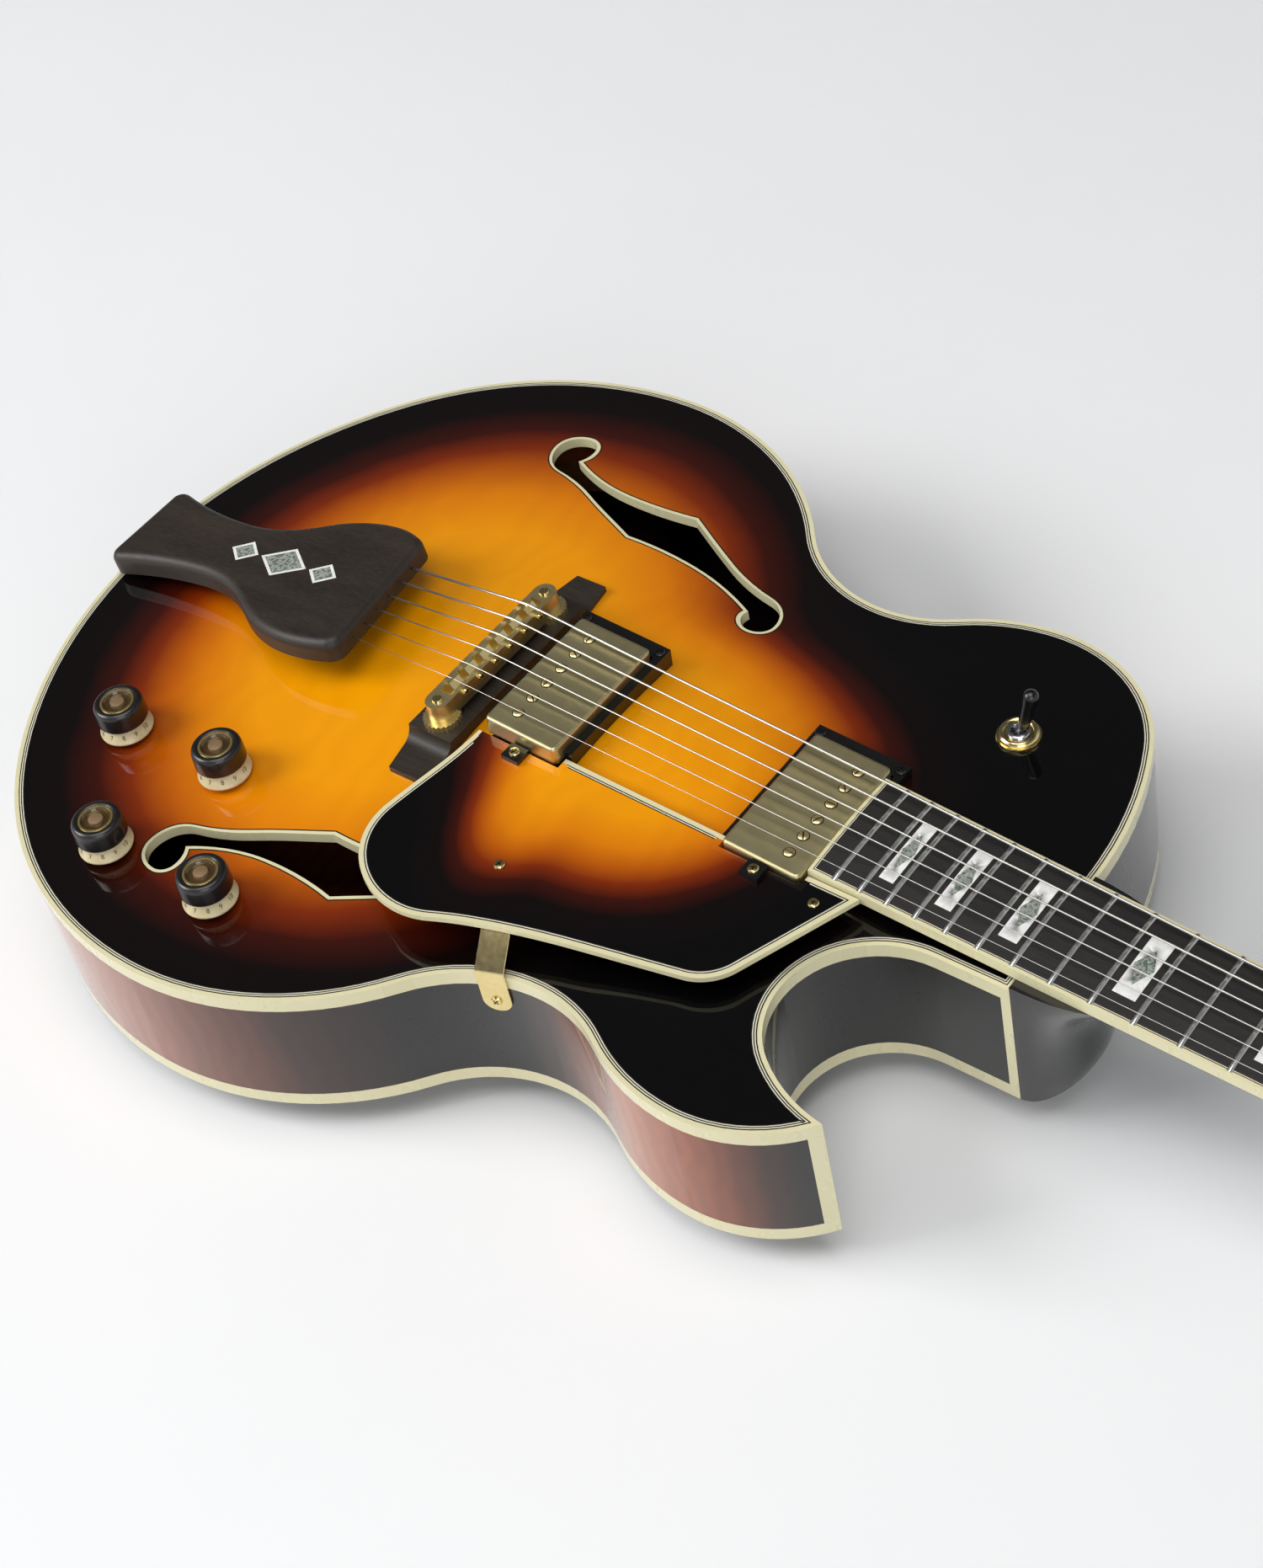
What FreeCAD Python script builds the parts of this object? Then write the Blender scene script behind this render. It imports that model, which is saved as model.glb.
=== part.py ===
"""Archtop guitar lying on its back: hollow arched body with one cutaway, set neck, floating bridge.

Frame: X across the body towards the treble side, Y along the strings towards the headstock, Z up out of
the top. The origin lies under the bridge line, on the flat field of the back that the guitar rests on.
All sizes are in millimetres and degrees.
"""
import FreeCAD
import Part
import Sketcher
import math
import os

Vec = FreeCAD.Vector
Rot = FreeCAD.Rotation
Place = FreeCAD.Placement
UP = Vec(0, 0, 1)
ACROSS = Vec(1, 0, 0)
ALONG = Vec(0, 1, 0)

# Driving sizes, kept in the document's sheet
SIZES = {
    # body outline, measured from the bridge line and the centre line
    "tail_reach": 225.0, "lower_bout_half": 202.5, "lower_bout_back": 45.0,
    "waist_half": 124.0, "waist_along": 118.0, "upper_bout_half": 147.5, "upper_bout_along": 200.0,
    "neck_end": 281.0, "shoulder_half": 33.0,
    "horn_across": 121.0, "horn_along": 254.0, "horn_lean": 6.3,
    "scoop_across": 74.0, "scoop_along": 202.0, "scoop_side": 32.0, "scoop_side_along": 246.0,
    # sound box
    "rim_depth": 70.0, "rim_wall": 3.0, "plate_wall": 5.0, "glue_gap": 0.25,
    "top_arch": 15.0, "edge_flat": 35.0, "back_arch": 16.0, "back_roll": 70.0, "rest_cut": 0.8,
    "binding_width": 2.0, "binding_height": 7.0, "corner_strip": 6.5, "heel_strip": 4.5,
    "lining_width": 6.0, "lining_height": 15.0,
    "neck_block_length": 60.0, "tail_block_length": 32.0, "block_half": 38.0,
    "bar_spacing": 46.0, "bar_width": 8.0, "bar_height": 12.0, "bar_back": 150.0, "bar_front": 165.0,
    "f_binding": 1.6, "f_hole_inset": 45.0,
    # neck and fingerboard, along the string line from the bridge
    "scale_length": 628.0, "neck_angle": 4.5, "board_rise": 30.5, "board_end": 186.0,
    "board_wall": 6.5, "board_camber": 305.0, "nut_width": 43.0, "board_end_width": 56.9,
    "board_binding": 1.6, "fret_width": 2.4, "fret_height": 1.1, "inlay_depth": 1.2,
    "neck_depth_nut": 14.5, "neck_depth_heel": 17.0, "heel_foot_length": 17.0, "heel_length": 62.0,
    "tongue_half": 23.0, "tenon_half": 11.0, "tenon_length": 16.0, "rod_radius": 3.0,
    "nut_wall": 5.0, "nut_rise": 2.2,
    "head_pitch": 10.0, "head_length": 165.0, "head_wall": 15.0, "head_half": 37.0, "head_tip_half": 32.0,
    "veneer_wall": 1.5, "cover_wall": 1.6, "rod_cover_half": 9.0, "rod_cover_tip": 4.0, "rod_cover_start": 3.0,
    "rod_cover_end": 31.0, "rod_screw_inset": 3.5,
    # tuning machines
    "post_first": 44.0, "post_pitch": 37.0, "post_across": 22.0, "post_inset": 1.5, "post_radius": 3.0,
    "post_rise": 17.0, "bushing_radius": 5.0, "gear_radius": 5.5, "gear_wall": 3.4, "worm_radius": 2.2,
    "mesh_gap": 0.3, "housing_wall": 1.0, "housing_depth": 10.0, "shaft_radius": 1.9,
    "button_gap": 6.0, "button_length": 13.0, "button_half": 8.0, "button_wall": 7.0, "button_round": 3.0,
    # strings
    "string_spread": 52.0, "nut_spread": 35.5, "string_rise": 3.9, "nut_string_rise": 1.5,
    "string_thick": 0.6, "string_thin": 0.14, "string_gap": 0.1,
    # bridge
    "bridge_half": 67.0, "bridge_width": 24.0, "bridge_tip_width": 16.0, "bridge_flat_half": 47.0,
    "bridge_tip_drop": 6.0, "bar_half": 43.0, "bar_depth": 11.0, "bar_wall": 9.0, "post_half": 37.5,
    "stud_radius": 2.4, "wheel_radius": 8.5, "wheel_wall": 3.0, "wheel_notches": 24, "saddle_rise": 2.0,
    "saddle_width": 4.6, "saddle_length": 6.0, "channel_depth": 5.0, "lift_gap": 0.05,
    # tailpiece
    "tail_rear_rise": 13.4, "tail_slope": 8.2, "tail_wall": 11.0, "tail_rear_half": 28.0,
    "tail_waist_half": 18.5, "tail_waist_along": 60.0, "tail_wide_half": 41.5, "tail_wide_along": 137.0,
    "tail_front_half": 36.5, "tail_front_along": 161.5, "tail_front_skew": 4.8, "tail_corner": 7.0,
    "tail_rear_corner": 6.0, "tail_round": 4.5, "tail_anchor": 8.0,
    "hanger_half": 12.0, "hanger_wall": 1.5, "hanger_drop": 42.0, "inlay_wall": 0.8,
    "lozenge_along": 99.5, "lozenge_pitch": 26.0, "lozenge_half": 7.0, "lozenge_long": 9.0,
    "middle_lozenge_half": 10.0, "middle_lozenge_long": 15.0,
    # pickups
    "bridge_pickup": 42.2, "neck_pickup": 166.3, "bridge_pickup_rise": 1.3, "neck_pickup_rise": -1.2,
    "cover_length": 69.0, "cover_width": 38.0, "cover_height": 9.0, "cover_shell": 0.8,
    "coil_gap": 0.8, "pole_offset": 8.0, "pole_pitch": 10.0, "pole_radius": 2.3, "pole_shank": 1.4,
    "pole_length": 16.0, "frame_drop": 5.4, "frame_side": 4.0, "frame_end": 8.0, "cover_round": 2.4,
    "cover_edge": 1.5,
    "pickup_depth": 18.0, "ear_length": 8.0, "ear_width": 9.0, "ear_wall": 2.4, "guard_gap": 0.8,
    # pickguard
    "guard_rise": 21.5, "guard_angle": 2.9, "guard_wall": 2.6, "guard_edge": 2.2, "guard_inner": 29.5,
    "guard_tip_along": 210.5, "guard_screw_across": 90.0, "guard_screw_along": 74.0,
    "tip_screw_across": 40.0, "tip_screw_along": 196.0,
    "bracket_width": 13.0, "bracket_wall": 1.2, "bracket_drop": 21.0, "bracket_along": 91.0,
    "bracket_across": 114.5, "bracket_tab": 12.0, "bracket_gap": 0.5,
    # controls
    "knob_radius": 12.2, "knob_height": 17.0, "cap_radius": 12.3, "knob_top_radius": 10.4, "skirt_height": 4.8,
    "skirt_wall": 1.2, "knob_recess": 3.0, "outer_knob_inset": 45.5, "inner_knob_inset": 102.0,
    "inner_knob_rear": 141.0, "inner_knob_front": 78.0, "outer_knob_rear": 99.0, "outer_knob_front": 35.0,
    "knob_gap": 2.5, "control_shaft": 3.0, "shaft_length": 15.0, "running_gap": 0.05, "pot_radius": 12.0,
    "pot_height": 9.0, "bush_radius": 4.7, "nut_radius": 6.5, "control_hole": 5.0,
    "switch_across": 85.0, "switch_along": 213.0, "switch_lean": 14.0, "switch_nut": 9.3,
    "lever_length": 22.5, "lever_tip": 3.6, "lever_stem": 1.3, "lever_ball": 2.9, "lever_pin": 0.8,
    "lever_pin_half": 4.6, "switch_can_half": 9.0, "switch_can_side": 7.0, "switch_can_depth": 26.0,
    "switch_nut_wall": 3.4, "nut_taper": 2.0,
    "jack_radius": 3.25, "jack_outer": 6.0, "jack_length": 24.0, "jack_flange": 9.5,
    "strap_radius": 7.0, "strap_neck": 3.6, "strap_height": 12.0,
    "screw_head": 2.4, "screw_wall": 1.2, "lead_radius": 1.1,
}

doc = FreeCAD.newDocument("archtop_guitar")
sheet = doc.addObject("Spreadsheet::Sheet", "Sizes")
for row, (alias, number) in enumerate(SIZES.items(), start=1):
    sheet.set("A%d" % row, alias)
    sheet.set("B%d" % row, str(number))
    sheet.setAlias("B%d" % row, alias)
doc.recompute()


class Length:
    """A size that keeps its number and the sheet formula that gives it."""

    def __init__(self, number, formula):
        self.number = float(number)
        self.formula = formula

    def mixed(self, sign, other, number):
        other_formula = other.formula if isinstance(other, Length) else repr(float(other))
        return Length(number, "(%s %s %s)" % (self.formula, sign, other_formula))

    def __add__(self, other):
        return self.mixed("+", other, self.number + float(other))

    def __sub__(self, other):
        return self.mixed("-", other, self.number - float(other))

    def __mul__(self, other):
        return self.mixed("*", other, self.number * float(other))

    def __truediv__(self, other):
        return self.mixed("/", other, self.number / float(other))

    def __float__(self):
        return self.number


class Table:
    """The sheet's sizes by name, as plain numbers or as bound lengths."""


D = Table()
S = Table()
for alias in SIZES:
    setattr(D, alias, float(sheet.get(alias)))
    setattr(S, alias, Length(sheet.get(alias), "Sizes." + alias))

NODES = []


def keep(item, label, placement=None):
    """Give a finished sub-part its node name and place."""
    item.Label = label
    if placement is not None:
        item.Placement = placement
    NODES.append(item)
    return item


def shaped(label, shape, placement=None):
    """A sub-part whose form is worked out from the sheet's sizes."""
    item = doc.addObject("Part::Feature", label)
    item.Shape = shape
    return keep(item, label, placement)


def primitive(kind, name, placement, **sizes):
    """A Part primitive with each size bound to the sheet."""
    item = doc.addObject(kind, name)
    for key, size in sizes.items():
        setattr(item, key, float(size))
        if isinstance(size, Length):
            item.setExpression(key, size.formula)
    item.Placement = placement
    return item


def group(label, members):
    """Separate solids of one kind that share a node."""
    item = doc.addObject("Part::Compound", label)
    item.Links = members
    return keep(item, label)


def origin_plane(body, role):
    return [plane for plane in body.Origin.OriginFeatures if plane.Role == role][0]


def outline_sketch(body, role, corners):
    """A closed straight-sided sketch whose corners are bound to the sheet."""
    sketch = body.newObject("Sketcher::SketchObject", body.Name + "_outline")
    sketch.AttachmentSupport = [(origin_plane(body, role), "")]
    sketch.MapMode = "FlatFace"
    count = len(corners)
    for index in range(count):
        start = Vec(float(corners[index][0]), float(corners[index][1]), 0)
        stop = Vec(float(corners[(index + 1) % count][0]), float(corners[(index + 1) % count][1]), 0)
        sketch.addGeometry(Part.LineSegment(start, stop))
    for index in range(count):
        sketch.addConstraint(Sketcher.Constraint("Coincident", index, 2, (index + 1) % count, 1))
    for index, corner in enumerate(corners):
        for kind, axis, size in (("DistanceX", -2, corner[0]), ("DistanceY", -1, corner[1])):
            if float(size) == 0.0:
                sketch.addConstraint(Sketcher.Constraint("PointOnObject", index, 1, axis))
                continue
            rule = sketch.addConstraint(Sketcher.Constraint(kind, -1, 1, index, 1, float(size)))
            if isinstance(size, Length):
                sketch.setExpression("Constraints[%d]" % rule, size.formula)
    return sketch


def turned(name, profile):
    """A turned piece: a profile of (radius, height) corners revolved about its own upright axis."""
    body = doc.addObject("PartDesign::Body", name)
    sketch = outline_sketch(body, "XZ_Plane", profile)
    turn = body.newObject("PartDesign::Revolution", name + "_turn")
    turn.Profile = sketch
    turn.ReferenceAxis = (sketch, ["V_Axis"])
    turn.Angle = 360.0
    body.Tip = turn
    return body


# Curves in the plan view

def flat(x, y, z=0.0):
    return Vec(x, y, z)


def tangent_arc(start, heading, stop):
    """The arc from start, leaving along heading, to stop, and the heading at its end."""
    chord = stop - start
    side = Vec(-heading.y, heading.x, 0)
    bend = 2 * chord.dot(side) / chord.dot(chord)
    leaving = chord * (2 * chord.dot(heading) / chord.dot(chord)) - heading
    if abs(bend) < 1e-7:
        return Part.LineSegment(start, stop).toShape(), leaving
    centre = start + side * (1 / bend)
    half_turn = math.atan2(chord.dot(side), chord.dot(heading))
    middle = centre + Rot(UP, math.degrees(half_turn)).multVec(start - centre)
    return Part.Arc(start, middle, stop).toShape(), leaving


def arc_chain(start, heading, stops):
    """Arcs that run on from each other without a corner."""
    edges = []
    for stop in stops:
        edge, heading = tangent_arc(start, heading, stop)
        edges.append(edge)
        start = stop
    return edges


def biarc(start, heading, stop, arrival, ratio=1.0):
    """Two arcs that leave start along heading and reach stop along arrival."""
    gap = stop - start
    square = 2 * ratio * (heading.dot(arrival) - 1)
    linear = -2 * gap.dot(heading * ratio + arrival)
    constant = gap.dot(gap)
    if abs(square) < 1e-9:
        second = -constant / linear
    else:
        root = math.sqrt(linear * linear - 4 * square * constant)
        second = (-linear - root) / (2 * square)
        if second < 0:
            second = (-linear + root) / (2 * square)
    first = ratio * second
    joint = (start + heading * first) * second + (stop - arrival * second) * first
    joint = joint * (1 / (first + second))
    return arc_chain(start, heading, [joint, stop])


def line(start, stop):
    return Part.LineSegment(start, stop).toShape()


def mirrored(edges):
    """The same edges on the other side of the centre line, in running order."""
    return [edge.mirror(Vec(0, 0, 0), ACROSS) for edge in reversed(edges)]


def joined(edges):
    return Part.Wire(Part.__sortEdges__(edges))


def inset(wire, distance):
    return wire.makeOffset2D(-distance, join=2) if distance > 0 else wire


def prism(wire, low, high):
    face = Part.Face(wire)
    face.translate(UP * low)
    return face.extrude(UP * (high - low))


def ring(wire, outer, inner, low, high):
    """An upright band between two insets of an outline."""
    return prism(inset(wire, outer), low, high).cut(prism(inset(wire, inner), low, high))


def block(low_x, high_x, low_y, high_y, low_z, high_z):
    corner = Vec(low_x, low_y, low_z)
    return Part.makeBox(high_x - low_x, high_y - low_y, high_z - low_z, corner)


def rod(start, stop, radius):
    way = stop - start
    return Part.makeCylinder(radius, way.Length, start, way)


def polygon_prism(points, direction):
    wire = Part.makePolygon(points + points[:1])
    return Part.Face(wire).extrude(direction)


def one(shape):
    """The single solid of a boolean result, without its seams."""
    solids = shape.removeSplitter().Solids
    return solids[0] if len(solids) == 1 else Part.makeCompound(solids)


# Body outline: tangent arcs on the bass side, a pointed cutaway on the treble side
BACK_RIM = D.back_arch
TOP_RIM = D.back_arch + D.rim_depth
FORWARD = Vec(0, 1, 0)
LOWER_TURN = 1.0
WAIST_IN_TURN = 2.0
WAIST_OUT_TURN = 0.7
SHOULDER_TURN = 1.2

tail = flat(0, -D.tail_reach)
lower = flat(-D.lower_bout_half, -D.lower_bout_back)
waist = flat(-D.waist_half, D.waist_along)
upper = flat(-D.upper_bout_half, D.upper_bout_along)
shoulder = flat(-D.shoulder_half, D.neck_end)

side_edges = biarc(tail, Vec(-1, 0, 0), lower, FORWARD, LOWER_TURN)
side_edges += biarc(lower, FORWARD, waist, FORWARD, WAIST_IN_TURN)
side_edges += biarc(waist, FORWARD, upper, FORWARD, WAIST_OUT_TURN)
bass_edges = side_edges + biarc(upper, FORWARD, shoulder, Vec(1, 0, 0), SHOULDER_TURN)

horn_tip = flat(D.horn_across, D.horn_along)
scoop = flat(D.scoop_across, D.scoop_along)
scoop_side = flat(D.scoop_side, D.scoop_side_along)
heel_corner = flat(D.scoop_side, D.neck_end)
lean = math.radians(D.horn_lean)
horn_edges = arc_chain(flat(D.upper_bout_half, D.upper_bout_along), FORWARD, [horn_tip])
horn_edges += biarc(horn_tip, Vec(-math.sin(lean), -math.cos(lean), 0), scoop, Vec(-1, 0, 0))
horn_edges += biarc(scoop, Vec(-1, 0, 0), scoop_side, FORWARD)
horn_edges += [line(scoop_side, heel_corner), line(heel_corner, shoulder)]
outline = joined(bass_edges + mirrored(side_edges) + horn_edges)
body_face = Part.Face(outline)

OUTLINE_STEPS = 420
rim_points = outline.discretize(OUTLINE_STEPS)
bass_points = sorted([(p.y, -p.x) for p in joined(bass_edges).discretize(OUTLINE_STEPS)])


def edge_distance(x, y):
    """How far a point lies inside the body's edge, or 0 outside it."""
    if not body_face.isInside(Vec(x, y, 0), 0.01, True):
        return 0.0
    return min(math.hypot(p.x - x, p.y - y) for p in rim_points)


def half_width(y):
    """The body's half width at a place along it, on the uncut side."""
    for (low_y, low_x), (high_y, high_x) in zip(bass_points, bass_points[1:]):
        if low_y <= y <= high_y:
            share = (y - low_y) / max(high_y - low_y, 1e-6)
            return low_x + share * (high_x - low_x)
    return 0.0


def eased(share):
    share = min(max(share, 0.0), 1.0)
    return share * share * (3 - 2 * share)


def top_height(x, y):
    """Height of the top above its edge: a long arch times a cross arch, flat at the edge."""
    share = (y + D.tail_reach) / (D.tail_reach + D.neck_end)
    width = half_width(y)
    if not 0 < share < 1 or abs(x) >= width:
        return 0.0
    long_arch = (1 - math.cos(2 * math.pi * share)) / 2
    cross_arch = (1 + math.cos(math.pi * abs(x) / width)) / 2
    return D.top_arch * long_arch * cross_arch * eased(edge_distance(x, y) / D.edge_flat)


def back_depth(x, y):
    """Depth of the back below its edge: a rolled border round a flat field."""
    return (D.back_arch + D.rest_cut) * eased(edge_distance(x, y) / D.back_roll)


GRID_MARGIN = 8.0
GRID_ACROSS = 31
GRID_ALONG = 37


def arched_face(height, level, sign):
    """A smooth face through a grid of heights over the whole body."""
    reach_x = D.lower_bout_half + GRID_MARGIN
    low_y = -D.tail_reach - GRID_MARGIN
    step_x = 2 * reach_x / (GRID_ACROSS - 1)
    step_y = (D.neck_end + GRID_MARGIN - low_y) / (GRID_ALONG - 1)
    grid = []
    for i in range(GRID_ACROSS):
        x = -reach_x + i * step_x
        column = [low_y + j * step_y for j in range(GRID_ALONG)]
        grid.append([Vec(x, y, level + sign * height(x, y)) for y in column])
    surface = Part.BSplineSurface()
    surface.interpolate(grid)
    return surface.toShape()


def slab(face, start, thickness):
    """The layer of a given thickness that starts a distance below (or above) an arched face."""
    layer = face.copy()
    layer.translate(UP * start)
    return layer.extrude(UP * thickness)


DEEP = 70.0
top_face = arched_face(top_height, TOP_RIM, 1)
back_face = arched_face(back_depth, BACK_RIM, -1)
below_top = slab(top_face, 0, -DEEP)
top_layer = slab(top_face, 0, -D.plate_wall)
back_layer = slab(back_face, 0, D.plate_wall)


def top_level(x, y):
    return TOP_RIM + top_height(x, y)


# F-holes: stations on the treble side as place, arriving and leaving direction in degrees; the two nicks and
# the two hooked ends are corners, the rest runs smoothly
F_EDGE = D.lower_bout_half - D.f_hole_inset
F_STATIONS = [
    (F_EDGE - 17.0, -64.5, -62.0, 37.0),
    (F_EDGE, -71.5, -90.0, -90.0),
    (F_EDGE - 12.0, -85.0, 180.0, 180.0),
    (F_EDGE - 37.5, -46.0, 117.0, 117.0),
    (F_EDGE - 54.0, -9.5, 114.0, 88.0),
    (F_EDGE - 67.0, 66.5, 115.0, 200.0),
    (F_EDGE - 78.0, 75.5, 90.0, 90.0),
    (F_EDGE - 68.5, 85.5, 0.0, 0.0),
    (F_EDGE - 44.0, 45.0, -63.0, -63.0),
    (F_EDGE - 25.0, 10.5, -60.0, -100.0),
]


def heading(degrees):
    return Vec(math.cos(math.radians(degrees)), math.sin(math.radians(degrees)), 0)


def f_hole_wire(margin):
    """An f-hole's edge, drawn in by a margin."""
    places = []
    for x, y, arriving, leaving in F_STATIONS:
        before = heading(arriving)
        after = heading(leaving)
        inwards = Vec(before.y + after.y, -before.x - after.x, 0)
        places.append(flat(x, y) + inwards * (margin / (1 + before.dot(after))))
    edges = []
    for index, station in enumerate(F_STATIONS):
        following = (index + 1) % len(F_STATIONS)
        arriving = heading(F_STATIONS[following][2])
        edges += biarc(places[index], heading(station[3]), places[following], arriving)
    return joined(edges)


f_treble = f_hole_wire(0)
f_bass = joined(mirrored(f_treble.Edges))
f_treble_inner = f_hole_wire(D.f_binding)
f_bass_inner = joined(mirrored(f_treble_inner.Edges))
LOW = -10.0
HIGH = 200.0

# Control places on the top
KNOB_OUTER = D.lower_bout_half - D.outer_knob_inset
KNOB_INNER = D.lower_bout_half - D.inner_knob_inset
KNOB_PLACES = [flat(KNOB_INNER, -D.inner_knob_rear), flat(KNOB_INNER, -D.inner_knob_front),
               flat(KNOB_OUTER, -D.outer_knob_rear), flat(KNOB_OUTER, -D.outer_knob_front)]
SWITCH = flat(-D.switch_across, D.switch_along)

# Neck frame: origin on the fingerboard plane over the bridge line, Y along the strings
NECK = Place(Vec(0, 0, TOP_RIM + D.board_rise), Rot(ACROSS, -D.neck_angle))
HEAD = NECK * Place(Vec(0, D.scale_length + D.nut_wall, -D.board_wall), Rot(ACROSS, -D.head_pitch))


def placed(shape, placement):
    moved = shape.copy()
    moved.Placement = placement.multiply(moved.Placement)
    return moved


def board_width(y):
    share = (D.scale_length - y) / (D.scale_length - D.board_end)
    return D.nut_width + share * (D.board_end_width - D.nut_width)


PICKUPS = [(D.bridge_pickup, D.bridge_pickup_rise, -1), (D.neck_pickup, D.neck_pickup_rise, 1)]
CUT_ROOM = 1.0


def pickup_hole(place):
    half_x = D.cover_length / 2 + CUT_ROOM
    half_y = D.cover_width / 2 + CUT_ROOM
    return placed(block(-half_x, half_x, place - half_y, place + half_y, -DEEP, D.cover_height), NECK)


# Sound box
def make_top():
    plate = top_layer.common(prism(inset(outline, D.binding_width), LOW, HIGH))
    cutters = [prism(f_treble, LOW, HIGH), prism(f_bass, LOW, HIGH)]
    cutters += [pickup_hole(pickup[0]) for pickup in PICKUPS]
    for place in KNOB_PLACES + [SWITCH]:
        radius = D.control_hole if place is not SWITCH else D.jack_outer + CUT_ROOM / 4
        cutters.append(Part.makeCylinder(radius, HIGH, place))
    return shaped("top_plate", one(plate.cut(cutters)))


def make_back():
    plate = back_layer.common(prism(inset(outline, D.binding_width), LOW, HIGH))
    floor = block(-HIGH * 2, HIGH * 2, -HIGH * 2, HIGH * 2, -DEEP, 0)
    return shaped("back_plate", one(plate.cut(floor)))


def horn_strip():
    band = ring(outline, 0, D.binding_width, BACK_RIM + D.binding_height, TOP_RIM - D.binding_height)
    return band.common(Part.makeCylinder(D.corner_strip, HIGH, horn_tip))


def heel_strip():
    band = ring(outline, 0, D.binding_width, BACK_RIM + D.binding_height, TOP_RIM - D.binding_height)
    near = block(D.scoop_side - D.binding_width, D.scoop_side + CUT_ROOM,
                 D.neck_end - D.heel_strip, D.neck_end, LOW, HIGH)
    return band.common(near)


def tenon_box():
    return block(-D.tenon_half, D.tenon_half, D.neck_end - D.tenon_length, D.neck_end + CUT_ROOM,
                 BACK_RIM + D.binding_height, TOP_RIM - D.binding_height)


jack_hit = outline.distToShape(Part.Vertex(flat(D.lower_bout_half, -D.lower_bout_half * 1.45)))[1][0][0]
inward_hit = inset(outline, D.rim_wall).distToShape(Part.Vertex(jack_hit))[1][0][0]
JACK_OUT = (jack_hit - inward_hit).normalize()
JACK_SPOT = jack_hit + UP * (BACK_RIM + D.rim_depth / 2)


def make_rims():
    low = BACK_RIM + D.plate_wall + D.glue_gap
    high = TOP_RIM - D.plate_wall - D.glue_gap
    wall = ring(outline, 0, D.rim_wall, low, high)
    wall = wall.cut([ring(outline, 0, D.binding_width, low, BACK_RIM + D.binding_height),
                     ring(outline, 0, D.binding_width, TOP_RIM - D.binding_height, high),
                     horn_strip(), heel_strip(), tenon_box(),
                     rod(JACK_SPOT - JACK_OUT * DEEP, JACK_SPOT + JACK_OUT * DEEP, D.jack_outer + D.mesh_gap)])
    bass = block(-HIGH * 2, 0, -HIGH * 2, HIGH * 2, LOW, HIGH)
    treble = block(0, HIGH * 2, -HIGH * 2, HIGH * 2, LOW, HIGH)
    shaped("rim_bass", one(wall.common(bass)))
    shaped("rim_treble", one(wall.common(treble)))


def end_blocks():
    low = BACK_RIM + D.plate_wall + D.glue_gap
    high = TOP_RIM - D.plate_wall - D.glue_gap
    inside = prism(inset(outline, D.rim_wall), low, high)
    neck_end = block(-D.block_half, D.scoop_side, D.neck_end - D.rim_wall - D.neck_block_length,
                     D.neck_end, low, high)
    tail_end = block(-D.block_half, D.block_half, -D.tail_reach, -D.tail_reach + D.rim_wall
                     + D.tail_block_length, low, high)
    return [one(inside.common(neck_end).cut(tenon_box())), one(inside.common(tail_end))]


def make_inner_wood():
    blocks = end_blocks()
    low = BACK_RIM + D.plate_wall + D.glue_gap
    high = TOP_RIM - D.plate_wall - D.glue_gap
    jack_way = rod(JACK_SPOT - JACK_OUT * DEEP, JACK_SPOT + JACK_OUT * DEEP, D.jack_outer + D.mesh_gap)
    linings = []
    for bottom, top in ((low, low + D.lining_height), (high - D.lining_height, high)):
        band = ring(outline, D.rim_wall, D.rim_wall + D.lining_width, bottom, top)
        linings += band.cut(blocks + [tenon_box(), jack_way]).Solids
    shaped("linings", Part.makeCompound(linings))
    shaped("end_blocks", Part.makeCompound(blocks))
    bars = []
    for side in (-1, 1):
        centre = side * D.bar_spacing
        beam = block(centre - D.bar_width / 2, centre + D.bar_width / 2, -D.bar_back, D.bar_front, LOW, HIGH)
        bars.append(one(slab(top_face, -D.plate_wall, -D.bar_height).common(beam)))
    shaped("tone_bars", Part.makeCompound(bars))


def make_bindings():
    shaped("top_binding", one(ring(outline, 0, D.binding_width, TOP_RIM - D.binding_height, TOP_RIM)))
    back_band = one(ring(outline, 0, D.binding_width, BACK_RIM, BACK_RIM + D.binding_height))
    shaped("back_binding", Part.makeCompound([back_band, one(horn_strip()), one(heel_strip())]))
    holes = []
    for outer, inner in ((f_treble, f_treble_inner), (f_bass, f_bass_inner)):
        edging = prism(outer, LOW, HIGH).cut(prism(inner, LOW, HIGH))
        holes.append(one(edging.common(top_layer)))
    shaped("f_hole_bindings", Part.makeCompound(holes))


# Neck
def d_section(y, width, depth):
    """A neck cross-section: flat under the board, round at the back."""
    left = Vec(-width / 2, y, -D.board_wall)
    right = Vec(width / 2, y, -D.board_wall)
    bottom = Vec(0, y, -D.board_wall - depth)
    return Part.Wire([line(left, right), Part.Arc(right, bottom, left).toShape()])


HEEL_POINTS = 9
# share of the heel's height, and share of the way from its foot's length to its full length
HEEL_STEPS = [(0.0, 0.0), (0.35, 0.03), (0.6, 0.14), (0.8, 0.45), (1.0, 1.0)]


def heel_section(level, length):
    """A heel cross-section: flat against the body and as wide as its end, half an ellipse in front."""
    middle = (D.scoop_side - D.shoulder_half) / 2
    half = (D.scoop_side + D.shoulder_half) / 2
    turns = [math.pi * step / (HEEL_POINTS - 1) for step in range(HEEL_POINTS)]
    points = [Vec(middle + half * math.cos(turn), D.neck_end + length * math.sin(turn), level)
              for turn in turns]
    front = Part.BSplineCurve()
    front.interpolate(points)
    return Part.Wire([line(points[-1], points[0]), front.toShape()])


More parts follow.
